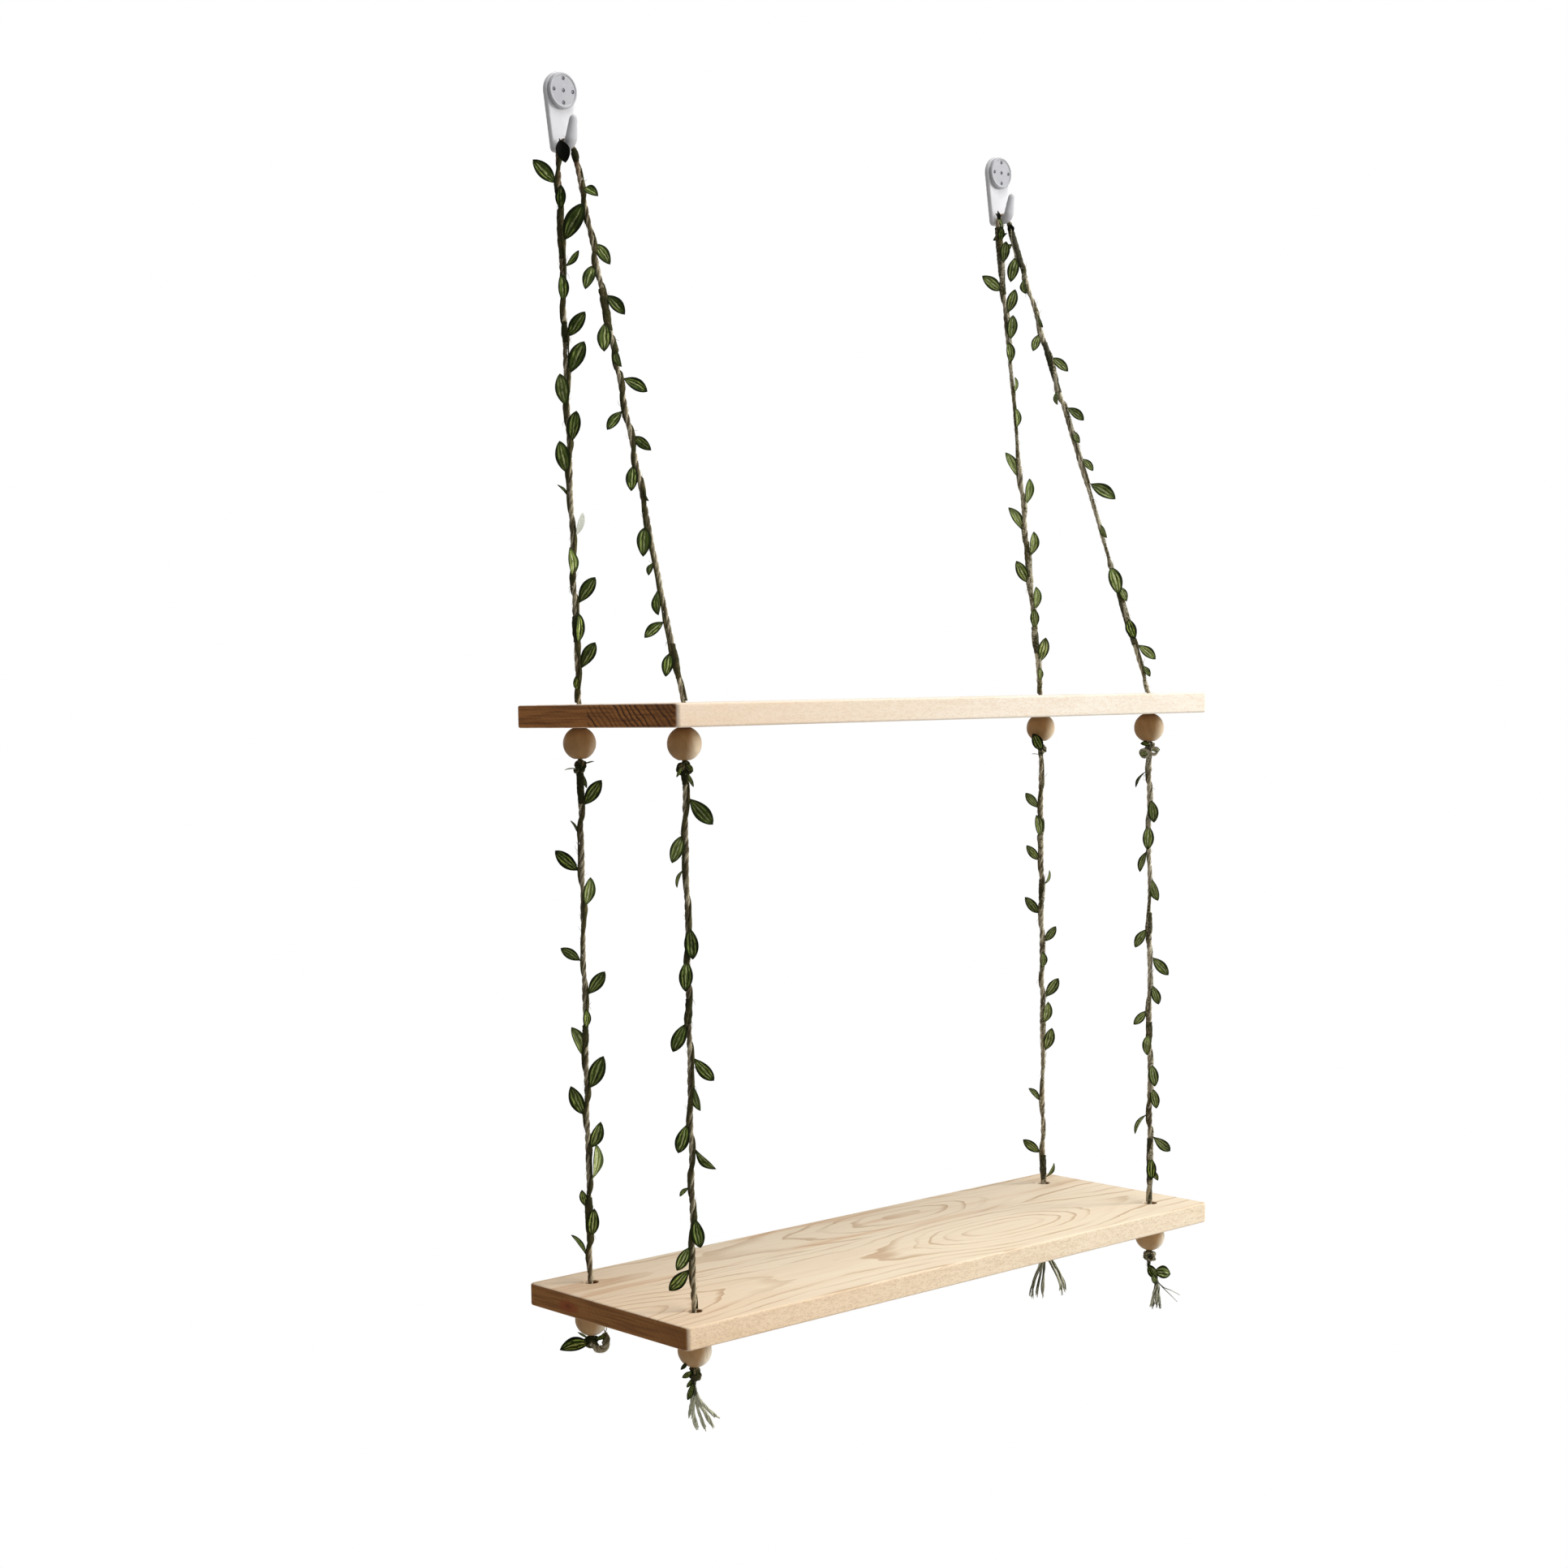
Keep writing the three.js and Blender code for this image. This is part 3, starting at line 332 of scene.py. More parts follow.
def leaf_cloth():
    """Printed cloth leaf: near-black rim, deep green blade, a pale midrib and broken paler streaks that
    run lengthwise and meet at foot and tip. Mark tone goes from near-black (-1) over dark green (0) and
    pale green (1) to bleached (2.4). Leaves are painted paler to the right, as painted light from the lamp on
    that side; dim quiets the veins of the upper left ones."""
    g = graph_of("leaf cloth")
    u, v, tone, seed = (g.mark(name) for name in ("leaf_u", "leaf_v", "tone", "seed"))
    x, _, z = g.parts(g.place())
    dim = g.span(z, -330.0, -290.0) * g.span(x, -90.0, -130.0)
    # Paler towards the right, except on near-black leaves: painted light from the lamp on that side.
    light_from_right = g.span(x, -80.0, 140.0, 0.4) * g.math("GREATER_THAN", tone, 0.05)
    tone_and_light, tone = light_from_right * 0.4 + tone, tone + light_from_right
    side = abs(u)
    lane = u + (g.noise((u * 1.2, v * 2.4, seed * 40.0)) - 0.5) * 0.5
    broken = g.noise((u * 7.0, v * 6.0, seed * 70.0), 3.0, 0.6)
    patch = g.noise((u * 0.9, v * 1.7, seed * 55.0), 1.0)
    mottle = g.noise((u * 1.6, v * 3.0, seed * 90.0), 3.0)
    ends = g.span(v, 0.05, 0.3) * g.span(v, 0.98, 0.72)
    rib = g.span(abs(lane), 0.17, 0.03) * g.span(broken, 0.36, 0.58) * ends
    ridge = abs(g.math("FRACT", lane * 1.9 + 0.5) - 0.5)
    vein = g.span(ridge, 0.3, 0.12) * g.span(broken, 0.36, 0.52) * ends * g.span(side, 0.9, 0.55)
    vein = vein * g.span(patch, 0.42, 0.56, 1.0, dim * -0.4 + 0.55)
    rim = g.math("MAXIMUM", g.span(v, 0.24, 0.04), g.span(v, 0.82, 0.98))
    rim = g.math("MAXIMUM", g.span(side, 0.46, 0.82), rim)
    deep = g.mix(rgb(10, 19, 3), (tone_and_light, rgb(92, 108, 52)))
    mid = g.mix(rgb(54, 82, 12), (tone, rgb(150, 168, 88)))
    pale = g.mix(rgb(216, 240, 116), (tone, rgb(234, 242, 180)))
    colour = g.mix(deep, (g.span(mottle, 0.34, 0.66), mid),
                   (vein * (dim * -0.15 + 1.0), pale),
                   (rib * 0.9, g.mix(rgb(224, 232, 158), (tone, rgb(240, 243, 206)))),
                   (g.span(seed, 0.1, 1.0, 0.0, 0.5), deep),
                   (rim * 0.95, g.mix(rgb(7, 11, 3), (tone_and_light, rgb(60, 76, 34)))),
                   (g.span(tone, 0.0, -1.0), rgb(6, 9, 3)),
                   (g.span(tone, 1.4, 2.4), rgb(206, 210, 200)))
    weave = g.math("SINE", u * 60.0) * g.math("SINE", v * 150.0)
    return g.surface(colour, 0.55, 0.06, g.bump(rib + vein * 0.6 + weave * 0.12, 0.18, 0.8))


def plastic(name, colour, shade, prong=None):
    g = graph_of(name)
    place = g.place()
    flow = g.noise(place, scale=0.12)
    tint = g.mix(colour, (g.span(flow, 0.35, 0.7, 0.5), shade))
    # The prong, standing out from the wall, is painted a darker grey than the plate it is moulded with: painted shade.
    if prong:
        tint = g.mix(tint, (g.span(g.parts(place)[1], -3.4, -6.4), prong))
    return g.surface(tint, g.span(flow, 0.3, 0.7, 0.34, 0.26), 0.35)


def steel():
    g = graph_of("pin steel")
    grain = g.noise(g.place(), 3.0, scale=6.0)
    colour = g.mix(rgb(120, 121, 126), (g.span(grain, 0.3, 0.7), rgb(150, 151, 156)))
    return g.surface(colour, 0.3, 0.5, g.bump(grain, 0.02, 0.3), 1.0)


PINE_UPPER = wood("pine upper", rgb(248, 239, 224), rgb(222, 196, 164), rgb(200, 134, 74), rgb(74, 40, 16), -62.0,
                  (-96.0, -30.0, 7.5, ((120.0, 70.0, 22.0),)), (-30.0, -40.0, 8.0, ((-60.0, 90.0, 25.0),)),
                  1.0, None, 4.7, UPPER_TOP)
PINE_LOWER = wood("pine lower", rgb(245, 228, 201), rgb(194, 161, 124), rgb(182, 124, 68), rgb(110, 69, 34), -53.0,
                  (-90.0, -32.0, 6.2, ((72.0, 62.0, 30.0), (-235.0, 75.0, 26.0))),
                  (-26.0, -34.0, 6.6, ((45.0, 70.0, 26.0),)), 0.15, (-36.0, -6.5), 12.3, LOWER_TOP)
# Each bead's third colour is the colour of its lit side: painted light.
BEAD_UPPER = bead_wood("bead upper", rgb(172, 133, 88), rgb(120, 80, 42), rgb(236, 216, 184))
BEAD_LOWER = bead_wood("bead lower", rgb(196, 158, 112), rgb(140, 100, 62), rgb(252, 240, 216))
JUTE = jute("jute", rgb(216, 208, 180), rgb(146, 130, 98), rgb(80, 70, 44), rust=0.6)
KNOT = jute("knotted jute", rgb(150, 140, 104), rgb(74, 68, 42), rgb(40, 42, 22), green=0.85, light_from_right=0.4)
# The frayed yarns' colours are lifted near white: painted light for the hanging yarns, which the lamps reach less.
FRAY = jute("frayed jute", rgb(252, 252, 232), rgb(204, 206, 166), rgb(36, 40, 20), green=0.12, light_from_right=0.0)
STEM = jute("garland stem", rgb(118, 108, 72), rgb(62, 56, 32), rgb(26, 28, 12), green=0.5)
LEAF = leaf_cloth()
WHITE = plastic("hook plastic", rgb(230, 230, 233), rgb(218, 218, 222), rgb(196, 196, 200))
CAP = plastic("cap plastic", rgb(190, 191, 195), rgb(178, 179, 184))
STEEL = steel()


# ---------------------------------------------------------------- forms

RIGHT = np.array([math.cos(BEARING), math.sin(BEARING), 0.0])
NEAR = np.array([math.sin(BEARING), -math.cos(BEARING), 0.0])
UP = np.array([0.0, 0.0, 1.0])


def seen(point):
    """A point given to the camera's right, towards it, and up."""
    return RIGHT * point[0] + NEAR * point[1] + UP * point[2]


def unit(vectors):
    return vectors / np.linalg.norm(vectors, axis=-1, keepdims=True)


def circle(sides):
    turn = np.linspace(0, 2 * math.pi, sides, endpoint=False)
    return np.cos(turn), np.sin(turn)


def quarter(steps):
    return np.linspace(0, math.pi / 2, steps + 1)


def polar(turn, first, second):
    """The direction at an angle between two others, or one for each of many angles."""
    return np.cos(turn)[..., None] * first + np.sin(turn)[..., None] * second


def dress(made, material, body, replaces=()):
    made.data.materials.clear()
    made.data.materials.append(material)
    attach(made, body)
    if replaces:
        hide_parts(*replaces)
    return made


def modified(made, *modifiers):
    """Applies modifiers, each given as (kind, settings)."""
    for kind, settings in modifiers:
        modifier = made.modifiers.new(kind.lower(), kind)
        for key, value in settings.items():
            setattr(modifier, key, value)
    graph = bpy.context.evaluated_depsgraph_get()
    mesh = bpy.data.meshes.new_from_object(made.evaluated_get(graph))
    made.modifiers.clear()
    made.data = mesh


def combine(made, form, operation="DIFFERENCE"):
    """Takes a form away from an object, or adds it."""
    tool = form.plain("tool")
    modified(made, ("BOOLEAN", {"object": tool, "operation": operation, "solver": "EXACT"}))
    bpy.data.objects.remove(tool)


def smooth(made, sharp=None, flat_faces=False):
    """Smooth shading, with edges sharper than an angle in degrees left sharp."""
    made.data.shade_smooth()
    if sharp:
        made.data.set_sharp_from_angle(angle=math.radians(sharp))
    if flat_faces:
        modified(made, ("WEIGHTED_NORMAL", {"keep_sharp": True, "weight": 100}))


class Form:
    """Points, faces and point marks of one piece, in millimetres."""

    def __init__(self):
        self.points, self.faces, self.marks, self.count = [], [], {}, 0

    def add(self, points, faces, **marks):
        points = np.asarray(points, float).reshape(-1, 3)
        self.points.append(points)
        self.faces.extend([index + self.count for index in face] for face in faces)
        for key, values in marks.items():
            self.marks.setdefault(key, []).append((self.count, np.broadcast_to(values, len(points))))
        self.count += len(points)
        return self

    def plain(self, name):
        """An object without material or body."""
        mesh = bpy.data.meshes.new(name)
        mesh.from_pydata(np.concatenate(self.points) * MM, [], self.faces)
        for key, runs in self.marks.items():
            values = np.zeros(self.count, np.float32)
            for start, run in runs:
                values[start:start + len(run)] = run
            mesh.attributes.new(key, "FLOAT", "POINT").data.foreach_set("value", values)
        shape = bmesh.new()
        shape.from_mesh(mesh)
        bmesh.ops.recalc_face_normals(shape, faces=shape.faces)
        shape.to_mesh(mesh)
        shape.free()
        return placed(name, mesh)

    def make(self, name, material, body, slot, replaces=(), sharp=None):
        made = self.plain(name)
        smooth(made, sharp)
        return dress(made, material, body, replaces)


def grid(rows, columns, closed=True, looped=False):
    """Faces of a net of points. closed joins its last column to the first, looped its last row."""
    faces = []
    for i in range(rows if looped else rows - 1):
        here, there = i * columns, (i + 1) % rows * columns
        for k in range(columns if closed else columns - 1):
            n = (k + 1) % columns
            faces.append((here + k, here + n, there + n, there + k))
    return faces


def capped(form, rings, ends, **marks):
    """Adds rings of points as a skin, closed at both ends by a fan about a point."""
    rows, sides = rings.shape[:2]
    count = rows * sides
    faces = grid(rows, sides)
    faces += [(count, (k + 1) % sides, k) for k in range(sides)]
    faces += [(count + 1, count - sides + k, count - sides + (k + 1) % sides) for k in range(sides)]
    for key, values in marks.items():
        values = np.broadcast_to(values, (rows, sides)).ravel()
        marks[key] = np.append(values, (values[0], values[-1]))
    return form.add(np.concatenate([rings.reshape(-1, 3), ends]), faces, **marks)


def stacked(rings, way=1):
    """A form of rings of points with one flat face at each end. way is 1, or -1 for rings that turn back."""
    count = len(rings[0])
    last = (len(rings) - 1) * count
    ends = [list(range(count))[::-way], list(range(last, last + count))[::way]]
    return Form().add(np.concatenate(rings), grid(len(rings), count) + ends)


def lathe(form, profile, sides, centre=(0, 0, 0), axis="z", looped=False):
    """Adds a profile of (radius, height) turned about an axis."""
    cos, sin = circle(sides)
    rings = np.array([np.stack([radius * cos, radius * sin, np.full(sides, height)], axis=1)
                      for radius, height in profile])
    if axis == "-y":
        rings = np.stack([rings[..., 0], -rings[..., 2], rings[..., 1]], axis=-1)
    rings = rings + np.array(centre)
    if looped:
        return form.add(rings, grid(len(profile), sides, looped=True))
    return capped(form, rings, [rings[0].mean(axis=0), rings[-1].mean(axis=0)])


def frames(path):
    """Tangents, and two directions across a path that don't twist about it."""
    tangent = unit(np.gradient(path, axis=0))
    normals = [unit(np.cross(tangent[0], (0.3, 1.0, 0.2)))]
    for along in tangent[1:]:
        normals.append(unit(normals[-1] - along * (normals[-1] @ along)))
    normals = np.array(normals)
    return tangent, normals, np.cross(tangent, normals)


def lengths(path):
    return np.concatenate([[0], np.cumsum(np.linalg.norm(np.diff(path, axis=0), axis=1))])


def shares(path):
    return lengths(path) / lengths(path)[-1]


def resample(points, step):
    points = np.asarray(points, float)
    run = lengths(points)
    count = max(2, int(round(run[-1] / step)) + 1)
    spots = np.linspace(0, run[-1], count)
    return np.stack([np.interp(spots, run, points[:, axis]) for axis in range(3)], axis=1)


def smooth_path(points, step):
    """A Catmull-Rom curve through the points, evenly divided."""
    points = [np.asarray(p, float) for p in points]
    ends = [2 * points[0] - points[1], *points, 2 * points[-1] - points[-2]]
    out = []
    for a, b, c, d in zip(ends, ends[1:], ends[2:], ends[3:]):
        for t in np.linspace(0, 1, 12, endpoint=False):
            out.append(0.5 * (2 * b + (c - a) * t + (2 * a - 5 * b + 4 * c - d) * t * t
                              + (3 * b - a - 3 * c + d) * t ** 3))
    out.append(points[-1])
    return resample(out, step)


class Waves:
    """A smooth random line about zero, the same each run."""

    def __init__(self, seed, longest):
        draw = random.Random(seed)
        self.parts = [(2 * math.pi / (longest * draw.uniform(0.25, 1.0)), draw.uniform(0, 2 * math.pi),
                       draw.uniform(0.4, 1.0)) for _ in range(5)]
        self.total = sum(part[2] for part in self.parts)

    def __call__(self, value):
        return sum(size * np.sin(rate * value + start) for rate, start, size in self.parts) / self.total


def tube(form, path, radius, sides, basis=None, groove=0.0, along=0.0, shade=0.4, bulge=None):
    """Adds a tube along a path. radius and shade are one number or one for each point of the path, and
    along is where the mark along starts, or all its values. bulge: how far the ends stand out."""
    tangent, first, second = basis or frames(path)
    radius = np.broadcast_to(radius, len(path))
    bulge = radius * 0.6 if bulge is None else bulge
    run = along if np.ndim(along) else lengths(path) + along
    cos, sin = circle(sides)
    ring = cos[:, None] * first[:, None] + sin[:, None] * second[:, None]
    ends = [path[0] - tangent[0] * bulge[0], path[-1] + tangent[-1] * bulge[-1]]
    return capped(form, path[:, None] + ring * radius[:, None, None], ends, around_c=cos, around_s=sin,
                  along=run[:, None], groove=groove, shade=np.broadcast_to(shade, len(path))[:, None])


def bare(name, share):
    """1 along a strand, less where the photo shows it bare and thin."""
    size = np.ones(len(share))
    for low, high, thin in BARE.get(name, ()):
        size -= (1 - thin) * np.clip(np.minimum(share - low, high - share) / 0.03 + 0.5, 0, 1)
    return size


def rope(form, path, radius, seed, turned=0.0, sides=8, fuzz=0.35, lay=ROPE_LAY, basis=None, shade=0.0):
    """Three plies laid round each other, with loose fibres. turned is the rope's length before this piece."""
    tangent, normal, binormal = basis or frames(path)
    run = lengths(path) + turned
    radius = radius * np.ones(len(path))
    swell = 1 + 0.2 * Waves(seed, 60)(run)
    wander = 0.9 * Waves(f"lay {seed}", 80)(run)
    cos, sin = circle(sides)
    # groove is 1 on the inner side of each ply, where the plies meet: painted shade.
    groove = np.where(cos < -0.2, 1.0, np.clip(np.abs(sin) - 0.7, 0, 1) / 0.3 * 0.5)
    for ply in range(3):
        turn = 2 * math.pi * (ply / 3 + run / lay) + wander
        size = radius * swell * (1 + 0.12 * Waves(f"{seed}{ply}", 22)(run))
        out = polar(turn, normal, binormal)
        weather = np.clip(0.5 + shade + 1.1 * Waves(f"shade {seed}{ply}", 70)(run), 0, 1)
        basis = tangent, out, np.cross(tangent, out)
        tube(form, path + out * (size * PLY_OUT)[:, None], size * PLY_SIZE, sides, basis, groove, run, weather,
             radius * 0.3)
    draw = random.Random(f"fuzz {seed}")
    for _ in range(int((run[-1] - run[0]) * fuzz)):
        spot = draw.randrange(2, max(3, len(path) - 3))
        out = polar(draw.uniform(0, 2 * math.pi), normal[spot], binormal[spot])
        way = draw.choice((-1, 1)) * tangent[spot] * draw.uniform(0.5, 1.0)
        way = unit(way + np.cross(tangent[spot], out) * draw.uniform(-0.7, 0.7))
        reach, rise = draw.uniform(1.4, 3.2), draw.uniform(0.1, 0.4)
        start = path[spot] + out * radius[spot] * 0.88
        line = [start + way * reach * t + out * reach * rise * math.sin(t * 2.2) for t in (0, 0.35, 0.7, 1.0)]
        tube(form, np.array(line), (0.07, 0.06, 0.05, 0.03), 3, along=draw.uniform(0, 50))
    return form


def plumb(x, y, high, low, step=ROPE_STEP):
    return resample([(x, y, high), (x, y, low)], step)


# ---------------------------------------------------------------- boards and beads

def outline(length, depth, radius):
    """A rectangle with round corners, of five steps each."""
    points = []
    for k, (sx, sy) in enumerate(((1, 1), (-1, 1), (-1, -1), (1, -1))):
        for turn in quarter(5) + math.pi / 2 * k:
            points.append((sx * (length / 2 - radius) + radius * math.cos(turn),
                           sy * (depth / 2 - radius) + radius * math.sin(turn)))
    return np.array(points)


def board(name, top, material, body):
    rows = [(EDGE_RADIUS * (1 - math.sin(turn)), -THICK + EDGE_RADIUS * (1 - math.cos(turn))) for turn in quarter(4)]
    rows += [(inset, -THICK - height) for inset, height in reversed(rows)]
    rings = []
    for inset, height in rows:
        x, y = outline(LENGTH - 2 * inset, DEPTH - 2 * inset, CORNER_RADIUS - inset).T
        rings.append(np.column_stack([x, y - WALL_GAP - DEPTH / 2, np.full(len(x), top + height)]))
    made = stacked(rings).plain(name)
    wide = HOLE_RADIUS + HOLE_CHAMFER
    profile = [(wide + 1, 1.0), (wide, 0.0), (HOLE_RADIUS + 0.15, -HOLE_CHAMFER * 0.7), (HOLE_RADIUS, -HOLE_CHAMFER),
               (HOLE_RADIUS, -THICK + HOLE_CHAMFER), (wide, -THICK), (wide + 1, -THICK - 1)]
    holes = Form()
    for _, sign in SIDES:
        for _, y, _ in DEPTHS:
            lathe(holes, profile, 48, (sign * HOLE_X, y, top))
    combine(made, holes)
    smooth(made, 40, True)
    dress(made, material, body, [body.replace("_tier", "_board")])


def bead(name, x, y, top, body):
    upper = body == "upper_tier"
    centre = (x, y, top - BEAD_DROP)
    half = BEAD_HEIGHT / 2
    mouth = [(BORE_RADIUS, half - 0.8), (BORE_RADIUS + 0.25, half - 0.2), (BORE_RADIUS + 0.7, half)]
    start = math.asin(half / BEAD_RADIUS)
    profile = [(radius, -height) for radius, height in mouth]
    profile += [(BEAD_RADIUS * math.cos(turn), BEAD_RADIUS * math.sin(turn)) for turn in np.linspace(-start, start, 21)]
    form = lathe(Form(), profile + mouth[::-1], 40, centre, looped=True)
    way = unit(np.concatenate(form.points) - centre)
    # lit_side makes the side towards the lamp on the right, and a little below, paler: painted light. painted_shade
    # darkens the top under the board: painted shade.
    if upper:
        lit_side = way @ seen((0.85, -0.1, -0.15)) + (-0.04 if name == "upper_rear_left" else 0.3)
        painted_shade = way[:, 2]
    else:
        lit_side = way @ seen((0.95, -0.1, -0.3)) + 0.12
        painted_shade = np.maximum(way[:, 2], -0.4 * way[:, 2])
    form.marks = {"lit_side": [(0, lit_side)], "painted_shade": [(0, painted_shade)]}
    form.make(f"ball_{name}", BEAD_UPPER if upper else BEAD_LOWER, body, "bead", [f"bead_{name}"], sharp=50)


# ---------------------------------------------------------------- hooks

def plate_points(offset):
    """The plate's outline, inset by an offset, from its right side over the head to its left and round the foot."""
    taper = math.asin((HEAD_RADIUS - FOOT_HALF) / (HEAD_RISE + FOOT_DROP))
    radius = HEAD_RADIUS - offset
    points = [(radius * math.cos(turn), HEAD_RISE + radius * math.sin(turn))
              for turn in np.linspace(-taper, math.pi + taper, 41)]
    radius = FOOT_CORNER - offset
    for sign, start in ((-1, math.pi), (1, 1.5 * math.pi)):
        points += [(sign * (FOOT_HALF - FOOT_CORNER) + radius * math.cos(turn),
                    FOOT_CORNER - FOOT_DROP + radius * math.sin(turn)) for turn in quarter(6) + start]
    return np.array(points)


def plate_form(x0):
    rows = [(0.2, 0.0), (0.0, 0.2)]
    rows += [(PLATE_EDGE * (1 - math.cos(turn)), PLATE - PLATE_EDGE * (1 - math.sin(turn))) for turn in quarter(4)]
    rings = []
    for inset, out in rows:
        x, z = plate_points(inset).T
        rings.append(np.column_stack([x + x0, np.full(len(x), -out), z]))
    return stacked(rings, -1)


def prong_form(x0):
    """The J-shaped prong: a flared root in the plate, a round valley, and a leaning finger that narrows."""
    rows = []
    bend = VALLEY + PRONG_THICK / 2
    for i in range(9):
        turn = math.radians(70 * (1 - i / 8))
        lift = VALLEY * (1 - math.cos(turn))
        out = ROPE_OUT - VALLEY * math.sin(turn) if i else PLATE * 0.4
        rows.append((-out, (lift - PRONG_THICK) / 2, 0.0, PRONG_HALF * 1.1 + lift * 0.7, (lift + PRONG_THICK) / 2))
    last = math.radians(90 - PRONG_LEAN)
    for i in range(1, 13):
        turn = last * i / 12
        rows.append((-ROPE_OUT - bend * math.sin(turn), VALLEY - bend * math.cos(turn), turn, PRONG_HALF * 1.16,
                     PRONG_THICK / 2 * (1 + 0.1 * math.sin(math.pi * i / 12))))
    lean = math.radians(PRONG_LEAN)
    root_y, root_z = -ROPE_OUT - bend * math.cos(lean), VALLEY - bend * math.sin(lean)
    far = (PRONG_RISE - root_z) / math.cos(lean)
    for i in range(1, 15):
        share = i / 14
        end = max(0.0, (share - 0.78) / 0.22)
        round_off = max(math.sqrt(max(0.0, 1 - end * end)), 0.08)
        rows.append((root_y - math.sin(lean) * far * share, root_z + math.cos(lean) * far * share, last,
                     PRONG_HALF * (1.16 - 0.5 * share) * round_off, PRONG_THICK / 2 * (1.0 - 0.32 * share) * round_off))
    cos, sin = circle(36)
    rings = []
    for y, z, turn, wide, thick in rows:
        up = np.array([0, math.sin(turn), math.cos(turn)])
        rings.append(np.array([x0, y, z]) + cos[:, None] * wide * np.array([1, 0, 0]) + sin[:, None] * thick * up)
    return stacked(rings)


def hook(side, sign):
    x0 = sign * HOOK_X
    pins = [(x0, HEAD_RISE)]
    for k in range(4):
        turn = math.pi / 2 * k
        pins.append((x0 + PIN_CIRCLE * math.sin(turn), HEAD_RISE + PIN_CIRCLE * math.cos(turn)))

    body = plate_form(x0).plain(f"hook_{side}_moulded")
    combine(body, prong_form(x0), "UNION")
    modified(body, ("REMESH", {"mode": "VOXEL", "voxel_size": VOXEL * MM}),
             ("SMOOTH", {"factor": 0.5, "iterations": 6}),
             ("DECIMATE", {"ratio": 0.4}))
    bores = lathe(Form(), [(CAP_BORE, -1.0), (CAP_BORE, PLATE + 1.0)], 48, (x0, 0, HEAD_RISE), "-y")
    for x, z in pins[1:]:
        lathe(bores, [(PIN_BORE, -1.0), (PIN_BORE, PLATE + 1.0)], 16, (x, 0, z), "-y")
    combine(body, bores)
    smooth(body, 50)
    dress(body, WHITE, "wall_hooks", [f"hook_{side}"])

    rim = CAP_RADIUS - CAP_BEVEL
    profile = [(CAP_STEM, CAP_BACK - 2.6), (CAP_STEM, CAP_BACK), (CAP_RADIUS - 0.25, CAP_BACK),
               (CAP_RADIUS, CAP_BACK + 0.25), (CAP_RADIUS, CAP_FACE - CAP_BEVEL)]
    profile += [(rim + CAP_BEVEL * math.cos(turn), CAP_FACE - CAP_BEVEL + CAP_BEVEL * math.sin(turn))
                for turn in quarter(6)[1:]]
    profile += [(rim - 0.3, CAP_FACE - 0.06), (rim - 0.6, CAP_FACE - 0.32), (0.4, CAP_FACE - 0.26)]
    disc = lathe(Form(), profile, 96, (x0, 0, HEAD_RISE), "-y").plain(f"cap_{side}_disc")
    recess = [(0.5, -1.0), (0.5, CAP_FACE - 1.4), (0.95, CAP_FACE - 1.0), (1.1, CAP_FACE - 0.2), (1.5, CAP_FACE + 0.4)]
    holes = Form()
    for x, z in pins:
        lathe(holes, recess, 24, (x, 0, z), "-y")
    combine(disc, holes)
    smooth(disc, 40, True)
    dress(disc, CAP, "wall_hooks", [f"pin_cap_{side}"])

    head = CAP_FACE - 0.55
    profile = [(0.02, 0.4), (0.3, 1.4), (0.42, 2.0), (0.42, head - 0.5), (0.82, head - 0.42), (0.85, head - 0.1),
               (0.6, head + 0.12), (0.05, head + 0.2)]
    for k, (x, z) in enumerate(pins, 1):
        pin = lathe(Form(), profile, 20, (x, 0, z), "-y")
        pin.make(f"nail_{side}_{k}", STEEL, "wall_hooks", "pin_steel", [f"pin_{side}_{k}"], sharp=60)


# ---------------------------------------------------------------- leaves and garlands

